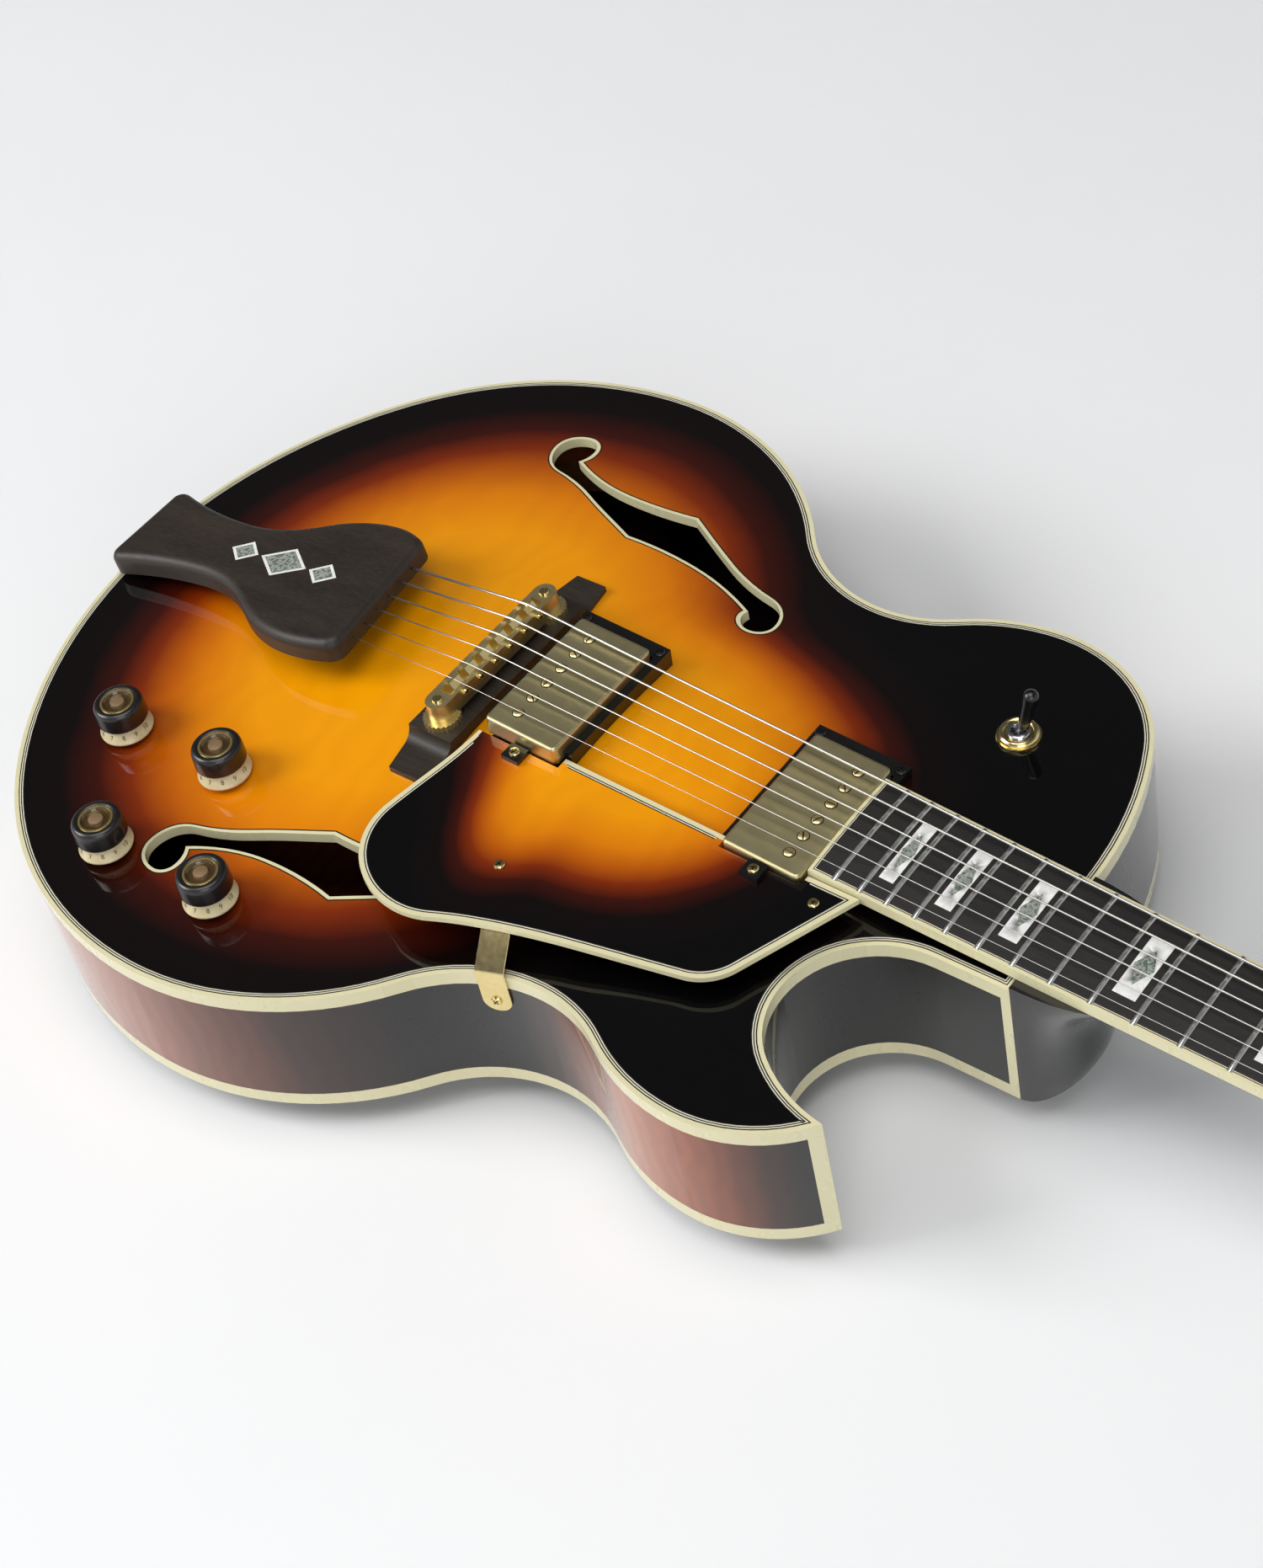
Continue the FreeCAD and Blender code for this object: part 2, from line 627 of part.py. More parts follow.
def head_outline(margin):
    """The headstock's outline, in its own frame, with a gently rounded end."""
    half = D.nut_width / 2 - margin
    wide = D.head_half - margin
    tip = D.head_tip_half - margin
    flare_end = D.post_first - D.nut_width / 4
    round_start = D.head_length - D.head_tip_half / 2
    side = biarc(flat(half, 0), FORWARD, flat(wide, flare_end), FORWARD)
    side.append(line(flat(wide, flare_end), flat(tip, round_start)))
    end_middle = flat(0, D.head_length - margin)
    end = Part.Arc(flat(tip, round_start), end_middle, flat(-tip, round_start)).toShape()
    return joined(side + [end] + mirrored(side) + [line(flat(-half, 0), flat(half, 0))])


def tuner_places():
    """Post places on the headstock, from the thickest string round to the thinnest."""
    bass = []
    for step in range(3):
        place = flat(-D.post_across + step * D.post_inset, D.post_first + step * D.post_pitch)
        bass.append((place, -1))
    treble = [(flat(-place.x, place.y), 1) for place, side in reversed(bass)]
    return bass + treble


TUNERS = tuner_places()


def make_neck():
    heel_level = BACK_RIM
    board_low = TOP_RIM + D.board_rise - D.neck_end * math.tan(math.radians(D.neck_angle)) - D.board_wall
    shaft_start = D.neck_end - D.tenon_length
    sections = [d_section(D.scale_length + D.nut_wall, D.nut_width, D.neck_depth_nut),
                d_section(shaft_start, board_width(shaft_start), D.neck_depth_heel)]
    shaft = placed(Part.makeLoft(sections, True, True), NECK)
    body_side = block(-HIGH, HIGH, 0, D.neck_end, LOW, board_low)
    top_side = below_top.common(block(-HIGH, HIGH, 0, D.neck_end, LOW, HIGH))
    shaft = shaft.cut([body_side, top_side])
    tall = board_low - heel_level
    flare = D.heel_length - D.heel_foot_length
    heel = Part.makeLoft([heel_section(heel_level + rise * tall, D.heel_foot_length + reach * flare)
                          for rise, reach in HEEL_STEPS], True)
    heel = heel.cut(placed(block(-HIGH, HIGH, 0, D.scale_length, -D.board_wall, HIGH), NECK))
    tongue_low = D.board_end + D.neck_depth_nut / 2
    tongue = placed(block(-D.tongue_half, D.tongue_half, tongue_low, D.neck_end + D.tenon_length,
                          -D.board_wall - D.board_rise, -D.board_wall), NECK)
    tongue = tongue.cut([below_top, block(-HIGH, HIGH, D.neck_end, HIGH * 3, LOW, board_low
                                          - D.neck_depth_heel)])
    collar = block(-D.tenon_half, D.tenon_half, D.neck_end - D.tenon_length, D.neck_end,
                   BACK_RIM + D.binding_height, TOP_RIM - D.binding_height)
    head = placed(prism(head_outline(0), -D.head_wall, -D.veneer_wall), HEAD)
    throat = placed(d_section_prism(), NECK)
    over_head = placed(block(-HIGH, HIGH, 0, HIGH * 2, -D.veneer_wall, HIGH), HEAD)
    whole = shaft.multiFuse([heel, tongue, collar, head, throat]).cut(over_head)
    channel = placed(rod(Vec(0, D.neck_end + D.heel_foot_length, rod_level()),
                         Vec(0, D.scale_length + D.head_length / 4, rod_level()),
                         D.rod_radius + D.running_gap), NECK)
    holes = [placed(Part.makeCylinder(D.bushing_radius, DEEP, place - UP * DEEP / 2), HEAD)
             for place, side in TUNERS]
    shaped("neck", one(whole.cut(holes + [channel])))
    shaped("truss_rod", placed(rod(Vec(0, D.neck_end + D.heel_foot_length, rod_level()),
                                   Vec(0, D.scale_length - D.nut_wall, rod_level()), D.rod_radius), NECK))


def d_section_prism():
    """The thickened joint between the neck shaft and the back of the headstock."""
    start = D.scale_length - D.head_wall
    return Part.makeLoft([d_section(start, board_width(start), D.neck_depth_nut),
                          d_section(D.scale_length + D.nut_wall + D.head_wall / 2,
                                    D.nut_width, D.neck_depth_nut)], True, True)


def rod_level():
    return -D.board_wall - D.rod_radius - 2 * D.running_gap


def fret_place(number):
    return D.scale_length * 2 ** (-number / 12.0)


FRETS = 20
INLAY_FRETS = (3, 5, 7, 9, 12, 15, 17, 19)
# half sizes of an inlay as shares of its fret space and board width, and of its diamond as shares of the inlay
INLAY_ALONG = 0.27
INLAY_ACROSS = 0.30
GEM_ALONG = 0.72
GEM_ACROSS = 0.6


def board_prism(margin, low):
    near = D.board_end + margin
    half_near = board_width(D.board_end) / 2 - margin
    half_far = D.nut_width / 2 - margin
    points = [Vec(-half_near, near, low), Vec(half_near, near, low),
              Vec(half_far, D.scale_length, low), Vec(-half_far, D.scale_length, low)]
    return polygon_prism(points, UP * DEEP)


def camber(drop):
    """The round space under the fingerboard's curved face, lowered by a drop."""
    start = Vec(0, 0, -D.board_camber)
    return Part.makeCylinder(D.board_camber - drop, D.scale_length * 2, start, ALONG)


def inlay_shapes():
    """Pearl blocks, each with a diamond of darker shell in its middle, and the pockets that take them."""
    pearl = []
    shell = []
    pockets = []
    floor = camber(D.inlay_depth)
    skin = camber(0).cut(floor)
    for number in INLAY_FRETS:
        far = fret_place(number - 1)
        near = fret_place(number)
        middle = (far + near) / 2
        half_y = INLAY_ALONG * (far - near)
        half_x = INLAY_ACROSS * board_width(middle)
        bar = block(-half_x, half_x, middle - half_y, middle + half_y, -D.board_wall, D.board_wall)
        gem_x = half_x * GEM_ACROSS
        gem_y = half_y * GEM_ALONG
        corners = [Vec(-gem_x, middle, -D.board_wall), Vec(0, middle - gem_y, -D.board_wall),
                   Vec(gem_x, middle, -D.board_wall), Vec(0, middle + gem_y, -D.board_wall)]
        gem = polygon_prism(corners, UP * DEEP)
        pearl.append(one(skin.common(bar).cut(gem)))
        shell.append(one(skin.common(gem)))
        pockets.append(bar.cut(floor))
    return pearl, shell, pockets


def make_fingerboard():
    round_top = camber(0)
    whole = board_prism(0, -D.board_wall).common(round_top)
    inner = board_prism(D.board_binding, -D.board_wall).common(round_top)
    pearl, shell, pockets = inlay_shapes()
    inlays = Part.makeCompound(pearl + shell)
    shaped("fingerboard", one(inner.cut(pockets)), NECK)
    shaped("fingerboard_binding", one(whole.cut(inner)), NECK)
    shaped("fingerboard_inlays", inlays, NECK)
    crown = camber(-D.fret_height).cut(round_top)
    wires = []
    for number in range(1, FRETS + 1):
        place = fret_place(number)
        half = board_width(place) / 2 - D.board_binding / 2
        near = place - D.fret_width / 2
        bar = block(-half, half, near, near + D.fret_width, -D.board_wall, D.board_wall)
        wires.append(one(crown.common(bar)))
    shaped("frets", Part.makeCompound(wires), NECK)


# Strings, thickest first
def string_radius(index):
    share = index / 5.0
    return D.string_thick + share * (D.string_thin - D.string_thick)


def string_x(index, spread):
    return spread * (index / 5.0 - 0.5)


def saddle_point(index):
    return NECK.multVec(Vec(string_x(index, D.string_spread), 0, D.string_rise))


def nut_point(index):
    return NECK.multVec(Vec(string_x(index, D.nut_spread), D.scale_length + D.nut_wall / 2, D.nut_string_rise))


TAIL = Place(Vec(0, -D.tail_reach, TOP_RIM + D.tail_rear_rise), Rot(ACROSS, D.tail_slope))


def tail_front(x):
    """Where the tailpiece's slanted front edge lies, along its own length."""
    return D.tail_front_along + D.tail_front_skew * x / D.tail_front_half


def anchor_point(index):
    x = string_x(index, D.string_spread - D.tail_anchor / 2)
    return TAIL.multVec(Vec(x, tail_front(x), -D.tail_wall + D.tail_anchor / 2))


def post_point(index):
    place, side = TUNERS[index]
    reach = D.post_radius + string_radius(index) + D.mesh_gap
    return HEAD.multVec(Vec(place.x - side * reach, place.y, D.post_rise * 0.45))


def string_path(index):
    start = anchor_point(index)
    saddle = saddle_point(index)
    inside = start + (start - saddle).normalize() * (D.tail_anchor * 0.75)
    return [inside, saddle, nut_point(index), post_point(index)]


def make_strings():
    solids = []
    for index in range(6):
        points = string_path(index)
        path = Part.makePolygon(points)
        section = Part.Circle(points[0], points[1] - points[0], string_radius(index)).toShape()
        solids.append(path.makePipeShell([Part.Wire(section)], True, False, 1))
    shaped("strings", Part.makeCompound(solids))


def make_nut():
    base = block(-D.nut_width / 2, D.nut_width / 2, D.scale_length, D.scale_length + D.nut_wall,
                 -D.board_wall, D.nut_rise)
    nut = placed(base.common(camber(-D.nut_rise)), NECK)
    slots = []
    for index in range(6):
        points = string_path(index)
        slot = string_radius(index) + D.running_gap
        slots += [rod(points[1], points[2], slot), rod(points[2], points[3], slot),
                  Part.makeSphere(slot, points[2])]
    shaped("nut", one(nut.cut(slots)))


def make_head_faces():
    face = prism(head_outline(0), -D.veneer_wall, 0)
    holes = [Part.makeCylinder(D.bushing_radius, DEEP, place - UP * DEEP / 2) for place, side in TUNERS]
    shaped("headstock_veneer", one(face.cut(holes)), HEAD)
    bell = [flat(-D.rod_cover_half, D.rod_cover_start), flat(D.rod_cover_half, D.rod_cover_start),
            flat(D.rod_cover_tip, D.rod_cover_end), flat(-D.rod_cover_tip, D.rod_cover_end)]
    plate = polygon_prism(bell, UP * D.cover_wall)
    shaped("truss_rod_cover", plate, HEAD)


# Tuning machines: post with gear wheel, button with worm, housing on the back of the headstock
WORM_OFFSET = D.gear_radius + D.worm_radius + D.mesh_gap
GEAR_LEVEL = -D.head_wall - D.housing_depth / 2
SHAFT_ROOM = D.running_gap


def make_housings():
    solids = []
    half_x = D.gear_radius + 2 * D.housing_wall + D.mesh_gap
    low_y = -WORM_OFFSET - D.worm_radius - 2 * D.housing_wall
    high_y = D.gear_radius + 2 * D.housing_wall
    low_z = -D.head_wall - D.housing_depth
    for place, side in TUNERS:
        shell = block(-half_x, half_x, low_y, high_y, low_z, -D.head_wall)
        shell = shell.makeFillet(D.housing_wall * 1.6, [edge for edge in shell.Edges
                                                       if edge.CenterOfMass.z < -D.head_wall - 0.1])
        wall = D.housing_wall
        hollow = block(-half_x + wall, half_x - wall, low_y + wall, high_y - wall, low_z + wall,
                       -D.head_wall - wall)
        post_way = Part.makeCylinder(D.post_radius + SHAFT_ROOM, DEEP, Vec(0, 0, GEAR_LEVEL))
        worm_way = rod(Vec(0, -WORM_OFFSET, GEAR_LEVEL), Vec(side * DEEP, -WORM_OFFSET, GEAR_LEVEL),
                       D.shaft_radius + SHAFT_ROOM)
        shell = one(shell.cut([hollow, post_way, worm_way]))
        bush = Part.makeCylinder(D.bushing_radius, D.head_wall + D.veneer_wall, Vec(0, 0, -D.head_wall))
        bush = bush.fuse(Part.makeCylinder(D.bushing_radius + 2, D.veneer_wall, Vec(0, 0, 0)))
        bush = one(bush.cut(Part.makeCylinder(D.post_radius + SHAFT_ROOM, DEEP, Vec(0, 0, -DEEP / 2))))
        for solid in (shell, bush):
            solid.translate(place)
            solids.append(placed(solid, HEAD))
    shaped("tuner_housings", Part.makeCompound(solids))


def make_tuners():
    foot = S.housing_wall + SHAFT_ROOM
    gear_low = S.housing_depth / 2 - S.gear_wall / 2
    gear_top = S.housing_depth / 2 + S.gear_wall / 2
    top = S.housing_depth + S.head_wall + S.post_rise
    base_level = -D.head_wall - D.housing_depth
    for number, (place, side) in enumerate(TUNERS, start=1):
        profile = [(0, foot), (S.post_radius, foot), (S.post_radius, gear_low), (S.gear_radius, gear_low),
                   (S.gear_radius, gear_top), (S.post_radius, gear_top), (S.post_radius, top - S.veneer_wall),
                   (S.post_radius - S.housing_wall / 2, top), (0, top)]
        post = turned("tuner_post_%d" % number, profile)
        keep(post, "tuner_post_%d" % number, HEAD * Place(place + UP * base_level, Rot()))
        make_button(number, place, side)


def make_button(number, place, side):
    """A worm shaft with its button, lying across the headstock's edge."""
    name = "tuner_button_%d" % number
    level = GEAR_LEVEL
    axis_y = place.y - WORM_OFFSET
    turn = Rot(ALONG, 90 * side)
    edge_x = D.head_half + D.button_gap
    start = place + Vec(-side * D.gear_radius, -WORM_OFFSET, level)
    worm = primitive("Part::Cylinder", name + "_worm", HEAD * Place(start, turn),
                     Radius=S.worm_radius, Height=S.gear_radius * 2)
    middle = place + Vec(0, -WORM_OFFSET, level)
    shaft = primitive("Part::Cylinder", name + "_shaft", HEAD * Place(middle, turn),
                      Radius=S.shaft_radius, Height=edge_x + D.button_round - abs(place.x))
    corner = Vec(edge_x if side > 0 else -edge_x - D.button_length, axis_y - D.button_half,
                 level - D.button_wall / 2)
    head = primitive("Part::Box", name + "_head", HEAD * Place(corner, Rot()), Length=S.button_length,
                     Width=S.button_half * 2, Height=S.button_wall)
    doc.recompute()
    soft = doc.addObject("Part::Fillet", name + "_soft")
    soft.Base = head
    soft.Edges = [(index + 1, D.button_round, D.button_round) for index in range(12)]
    fused = doc.addObject("Part::MultiFuse", name)
    fused.Shapes = [worm, shaft, soft]
    keep(fused, name)


# Tailpiece
def tail_wire(margin):
    half = D.tail_rear_half - margin
    narrow = D.tail_waist_half - margin
    wide = D.tail_wide_half - margin
    low = margin
    edges = []
    ends = []
    for side in (1, -1):
        corner = flat(side * half, low)
        waist_point = flat(side * narrow, D.tail_waist_along)
        wide_point = flat(side * wide, D.tail_wide_along)
        front = flat(side * (D.tail_front_half - margin), tail_front(side * D.tail_front_half) - margin)
        flank = biarc(waist_point, FORWARD, wide_point, FORWARD)
        flank += arc_chain(wide_point, FORWARD, [front])
        rear = arc_chain(waist_point, Vec(0, -1, 0), [corner])
        edges += flank + rear
        ends.append((corner, front))
    edges.append(line(ends[0][0], ends[1][0]))
    edges.append(line(ends[0][1], ends[1][1]))
    return joined(edges)


def tail_inlay_plates():
    """Three shell lozenges in a row on the tailpiece, the middle one larger."""
    plates = []
    for step in (-1, 0, 1):
        half_x = D.lozenge_half if step else D.middle_lozenge_half
        half_y = D.lozenge_long if step else D.middle_lozenge_long
        middle = D.lozenge_along + step * D.lozenge_pitch
        corners = [flat(-half_x, middle), flat(0, middle - half_y),
                   flat(half_x, middle), flat(0, middle + half_y)]
        low = [corner - UP * D.inlay_wall for corner in corners]
        plates.append(polygon_prism(low, UP * D.inlay_wall))
    return plates


def make_tailpiece():
    body = prism(tail_wire(0), -D.tail_wall, 0)
    for along, reach, radius in ((D.tail_front_along, D.tail_front_skew, D.tail_corner),
                                 (0.0, 0.0, D.tail_rear_corner)):
        corners = [edge for edge in body.Edges if abs(edge.tangentAt(edge.FirstParameter).z) > 0.9
                   and abs(edge.CenterOfMass.y - along) < reach + 1]
        body = body.makeFillet(radius, corners)
    top_edges = [edge for edge in body.Edges if abs(edge.CenterOfMass.z) < 0.01]
    body = body.makeFillet(D.tail_round, top_edges)
    plates = tail_inlay_plates()
    body = placed(body.cut(plates), TAIL)
    ways = []
    for index in range(6):
        points = string_path(index)
        reach = (points[0] - points[1]).normalize() * D.running_gap
        ways.append(rod(points[0] + reach * 4, points[1], string_radius(index) + D.running_gap * 3))
    shaped("tailpiece", one(body.cut(ways)))
    shaped("tailpiece_inlay", Part.makeCompound(plates), TAIL)
    tab = placed(block(-D.hanger_half, D.hanger_half, -D.hanger_wall * 2, D.tail_waist_along,
                       -D.tail_wall - D.hanger_wall, -D.tail_wall), TAIL)
    back_y = -D.tail_reach - D.mesh_gap
    drop = block(-D.hanger_half, D.hanger_half, back_y - D.hanger_wall, back_y,
                 TOP_RIM - D.hanger_drop, TOP_RIM + D.tail_rear_rise - D.tail_wall)
    hole = rod(Vec(0, 0, strap_level()), Vec(0, -HIGH * 2, strap_level()), D.strap_neck + D.running_gap)
    shaped("tailpiece_hanger", one(drop.fuse(tab).cut(hole)))


def strap_level():
    return BACK_RIM + D.rim_depth / 2


# Bridge
WHEEL_TOP = TOP_RIM + D.board_rise + D.string_rise - D.string_thick - D.saddle_rise - D.bar_wall
BASE_TOP = WHEEL_TOP - D.lift_gap - D.wheel_wall


def make_bridge():
    sweep = D.bridge_tip_drop
    tip_level = BASE_TOP - sweep
    near = sweep * (1 - math.sqrt(0.5))
    corner = Vec(D.bridge_half, 0, TOP_RIM)
    tip = Vec(D.bridge_half, 0, tip_level)
    wing = Vec(D.bridge_flat_half + sweep, 0, tip_level)
    bend = Vec(D.bridge_flat_half + near, 0, tip_level + near)
    crest = Vec(D.bridge_flat_half, 0, BASE_TOP)
    half = [line(corner, tip), line(tip, wing), Part.Arc(wing, bend, crest).toShape()]
    across = [Vec(-point.x, 0, point.z) for point in (corner, crest)]
    edges = half + mirrored(half) + [line(corner, across[0]), line(crest, across[1])]
    upright = Part.Face(joined(edges)).extrude(ALONG * D.bridge_width)
    upright.translate(Vec(0, -D.bridge_width / 2, 0))
    wide = D.bridge_width / 2
    narrow = D.bridge_tip_width / 2
    plan = [Vec(-D.bridge_half, -narrow, LOW), Vec(-D.bridge_flat_half, -wide, LOW),
            Vec(D.bridge_flat_half, -wide, LOW), Vec(D.bridge_half, -narrow, LOW),
            Vec(D.bridge_half, narrow, LOW), Vec(D.bridge_flat_half, wide, LOW),
            Vec(-D.bridge_flat_half, wide, LOW), Vec(-D.bridge_half, narrow, LOW)]
    foot = upright.common(polygon_prism(plan, UP * HIGH)).cut(below_top)
    post_low = BASE_TOP - D.channel_depth
    holes = [Part.makeCylinder(D.stud_radius, HIGH, Vec(side * D.post_half, 0, post_low)) for side in (-1, 1)]
    shaped("bridge_base", one(foot.cut(holes)))
    post_height = S.channel_depth + S.wheel_wall + S.bar_wall + S.saddle_rise / 2
    posts = [primitive("Part::Cylinder", "bridge_post", Place(Vec(side * D.post_half, 0, post_low), Rot()),
                       Radius=S.stud_radius, Height=post_height) for side in (-1, 1)]
    group("bridge_posts", posts)
    for name, side in (("thumbwheel_bass", -1), ("thumbwheel_treble", 1)):
        make_wheel(name, Place(Vec(side * D.post_half, 0, BASE_TOP), Rot()))
    make_bar()


def circle_sketch(body, radius, places):
    sketch = body.newObject("Sketcher::SketchObject", body.Name + "_rounds")
    sketch.AttachmentSupport = [(origin_plane(body, "XY_Plane"), "")]
    sketch.MapMode = "FlatFace"
    for index, place in enumerate(places):
        sketch.addGeometry(Part.Circle(Vec(float(place), 0, 0), UP, float(radius)))
        rule = sketch.addConstraint(Sketcher.Constraint("Radius", index, float(radius)))
        sketch.setExpression("Constraints[%d]" % rule, radius.formula)
        sketch.addConstraint(Sketcher.Constraint("PointOnObject", index, 3, -1))
        if float(place) == 0.0:
            sketch.addConstraint(Sketcher.Constraint("PointOnObject", index, 3, -2))
            continue
        rule = sketch.addConstraint(Sketcher.Constraint("DistanceX", -1, 1, index, 3, float(place)))
        sketch.setExpression("Constraints[%d]" % rule, place.formula)
    return sketch


def padded(body, sketch, height):
    pad = body.newObject("PartDesign::Pad", body.Name + "_pad")
    pad.Profile = sketch
    pad.Length = float(height)
    pad.setExpression("Length", height.formula)
    body.Tip = pad
    return pad


def pocketed(body, sketch, depth=None):
    """A pocket cut up into the body from its base plane, right through unless a depth is given."""
    pocket = body.newObject("PartDesign::Pocket", body.Name + "_pocket")
    pocket.Profile = sketch
    pocket.Reversed = True
    if depth is None:
        pocket.Type = "ThroughAll"
    else:
        pocket.Length = float(depth)
        pocket.setExpression("Length", depth.formula)
    body.Tip = pocket
    return pocket


def make_wheel(name, placement):
    """A knurled height nut that runs on a bridge post."""
    body = doc.addObject("PartDesign::Body", name)
    padded(body, circle_sketch(body, S.wheel_radius, [0.0]), S.wheel_wall)
    pocketed(body, circle_sketch(body, S.stud_radius + S.running_gap, [0.0]))
    notch = pocketed(body, circle_sketch(body, S.mesh_gap * 2, [S.wheel_radius]))
    doc.recompute()
    knurl = body.newObject("PartDesign::PolarPattern", name + "_knurl")
    knurl.Originals = [notch]
    knurl.Axis = (origin_axis(body, "Z_Axis"), [""])
    knurl.Angle = 360.0
    knurl.Occurrences = int(D.wheel_notches)
    body.Tip = knurl
    keep(body, name, placement)


def origin_axis(body, role):
    return [axis for axis in body.Origin.OriginFeatures if axis.Role == role][0]


def make_bar():
    """The saddle bar: a round-ended bar with post holes and a channel for the saddles."""
    level = WHEEL_TOP
    half = D.bar_half - D.bar_depth / 2
    middle = D.bar_depth / 2
    edges = [line(flat(-half, -middle), flat(half, -middle)), line(flat(half, middle), flat(-half, middle)),
             Part.Arc(flat(half, -middle), flat(D.bar_half, 0), flat(half, middle)).toShape(),
             Part.Arc(flat(-half, middle), flat(-D.bar_half, 0), flat(-half, -middle)).toShape()]
    bar = prism(joined(edges), level, level + D.bar_wall)
    channel_half = D.post_half - D.stud_radius - 2 * D.running_gap - D.bar_depth / 4
    channel = block(-channel_half, channel_half, -D.saddle_length / 2 - D.running_gap,
                    D.saddle_length / 2 + D.running_gap, level + D.bar_wall - D.channel_depth, HIGH)
    holes = [Part.makeCylinder(D.stud_radius + D.running_gap, HIGH, Vec(side * D.post_half, 0, LOW))
             for side in (-1, 1)]
    ways = []
    saddles = []
    screw_level = level + D.bar_wall - D.channel_depth / 2
    for index in range(6):
        x = string_x(index, D.string_spread)
        crest = saddle_point(index).z - string_radius(index) - D.string_gap
        half_x = D.saddle_width / 2
        base = level + D.bar_wall - D.channel_depth
        half_y = D.saddle_length / 2
        side = [Vec(x - half_x, -half_y, base), Vec(x - half_x, half_y, base),
                Vec(x - half_x, half_y, level + D.bar_wall), Vec(x - half_x, D.string_thick, crest),
                Vec(x - half_x, -D.string_thick, crest), Vec(x - half_x, -half_y, level + D.bar_wall)]
        wedge = polygon_prism(side, ACROSS * D.saddle_width)
        start = Vec(x, half_y, screw_level)
        stop = Vec(x, D.bar_depth / 2 + D.screw_wall, screw_level)
        saddles += [wedge, rod(start, stop, D.pole_shank)]
        ways.append(rod(start, stop, D.pole_shank + D.running_gap))
    shaped("bridge_bar", one(bar.cut([channel] + holes + ways)))
    shaped("saddles", Part.makeCompound(saddles))


# Pickups, in the neck frame
def cover_box(place, top, margin, low):
    half_x = D.cover_length / 2 - margin
    half_y = D.cover_width / 2 - margin
    box = block(-half_x, half_x, place - half_y, place + half_y, low, top - margin)
    box = box.makeFillet(D.cover_round - margin,
                         [edge for edge in box.Edges if abs(edge.tangentAt(edge.FirstParameter).z) > 0.9])
    rim = [edge for edge in box.Edges if edge.CenterOfMass.z > top - margin - D.running_gap]
    return box.makeFillet(D.cover_edge - margin, rim)


def pole_places(place, side):
    start = -2.5 * D.pole_pitch
    return [Vec(start + step * D.pole_pitch, place + side * D.pole_offset, 0) for step in range(6)]


def make_pickups():
    covers = []
    coils = []
    poles = []
    frames = []
    for place, top, side in PICKUPS:
        low = top - D.cover_height
        spots = pole_places(place, side)
        shell = cover_box(place, top, 0, low).cut(cover_box(place, top, D.cover_shell, low))
        ways = [Part.makeCylinder(D.pole_shank + D.running_gap, DEEP, spot - UP * DEEP / 2) for spot in spots]
        covers.append(one(shell.cut(ways)))
        half_x = D.cover_length / 2 - D.cover_shell - D.coil_gap
        half_y = D.cover_width / 2 - D.cover_shell - D.coil_gap
        roof = top - D.cover_shell
        plate_low = low - D.screw_wall
        for row in (-1, 1):
            inner = place + row * D.coil_gap / 2
            outer = place + row * half_y
            bobbin = block(-half_x, half_x, min(inner, outer), max(inner, outer), low, roof)
            coils.append(one(bobbin.cut(ways)))
        coils.append(one(block(-half_x, half_x, place - half_y, place + half_y, plate_low, low).cut(ways)))
        for spot in spots:
            shank = Part.makeCylinder(D.pole_shank, D.pole_length, spot + UP * (top - D.pole_length))
            head = Part.makeCylinder(D.pole_radius, D.screw_wall / 2, spot + UP * top)
            poles.append(one(shank.fuse(head)))
        frames += frame_solids(place, top)
    shaped("pickup_covers", Part.makeCompound(covers), NECK)
    shaped("pickup_coils", Part.makeCompound(coils), NECK)
    shaped("pole_screws", Part.makeCompound(poles), NECK)
    shaped("pickup_frames", Part.makeCompound(frames))


def frame_solids(place, top):
    """A pickup's frame, seated on the arched top, and the ear that carries its height screw."""
    half_x = D.cover_length / 2
    half_y = D.cover_width / 2
    gap = D.running_gap * 4
    outside = block(-half_x - D.frame_end, D.guard_inner - D.guard_gap, place - half_y - D.frame_side,
                    place + half_y + D.frame_side, -DEEP, top - D.frame_drop)
    inside = block(-half_x - gap, half_x + gap, place - half_y - gap, place + half_y + gap, -DEEP, DEEP)
    frame = placed(outside.cut(inside), NECK).cut(below_top)
    ear = block(NOTCH, NOTCH + D.ear_length, place - D.ear_width / 2, place + D.ear_width / 2, 0, D.ear_wall)
    return [one(frame), placed(ear, GUARD)]


# Pickguard, in a frame that lies over the treble side of the top
GUARD = Place(Vec(0, 0, TOP_RIM + D.guard_rise), Rot(ACROSS, -D.guard_angle))


NOTCH = D.cover_length / 2 + D.guard_gap
GUARD_STATIONS = [
    (NOTCH, 19.0, -2.0),
    (88.0, 11.5, -9.0),
    (130.5, 50.0, 90.0),
    (120.5, 81.0, 110.0),
    (107.8, 124.6, 103.0),
    (97.0, 172.0, 103.0),
    (83.0, 188.6, 157.0),
]


def guard_wire():
    """A wavy outer edge up to the tip at the neck, and an inner edge notched for both pickups."""
    edges = []
    for (x, y, leaving), (next_x, next_y, arriving) in zip(GUARD_STATIONS, GUARD_STATIONS[1:]):
        edges += biarc(flat(x, y), heading(leaving), flat(next_x, next_y), heading(arriving))
    corners = [flat(*GUARD_STATIONS[-1][:2]),
               flat(board_width(D.guard_tip_along) / 2 + D.guard_gap, D.guard_tip_along)]
    reach = D.cover_width / 2 + D.guard_gap
    corners += [flat(D.guard_inner, D.neck_pickup + reach), flat(NOTCH, D.neck_pickup + reach),
                flat(NOTCH, D.neck_pickup - reach - D.guard_gap),
                flat(D.guard_inner, D.neck_pickup - reach - D.guard_gap),
                flat(D.guard_inner, D.bridge_pickup + reach), flat(NOTCH, D.bridge_pickup + reach),
                flat(*GUARD_STATIONS[0][:2])]
    edges += [line(start, stop) for start, stop in zip(corners, corners[1:])]
    return joined(edges)


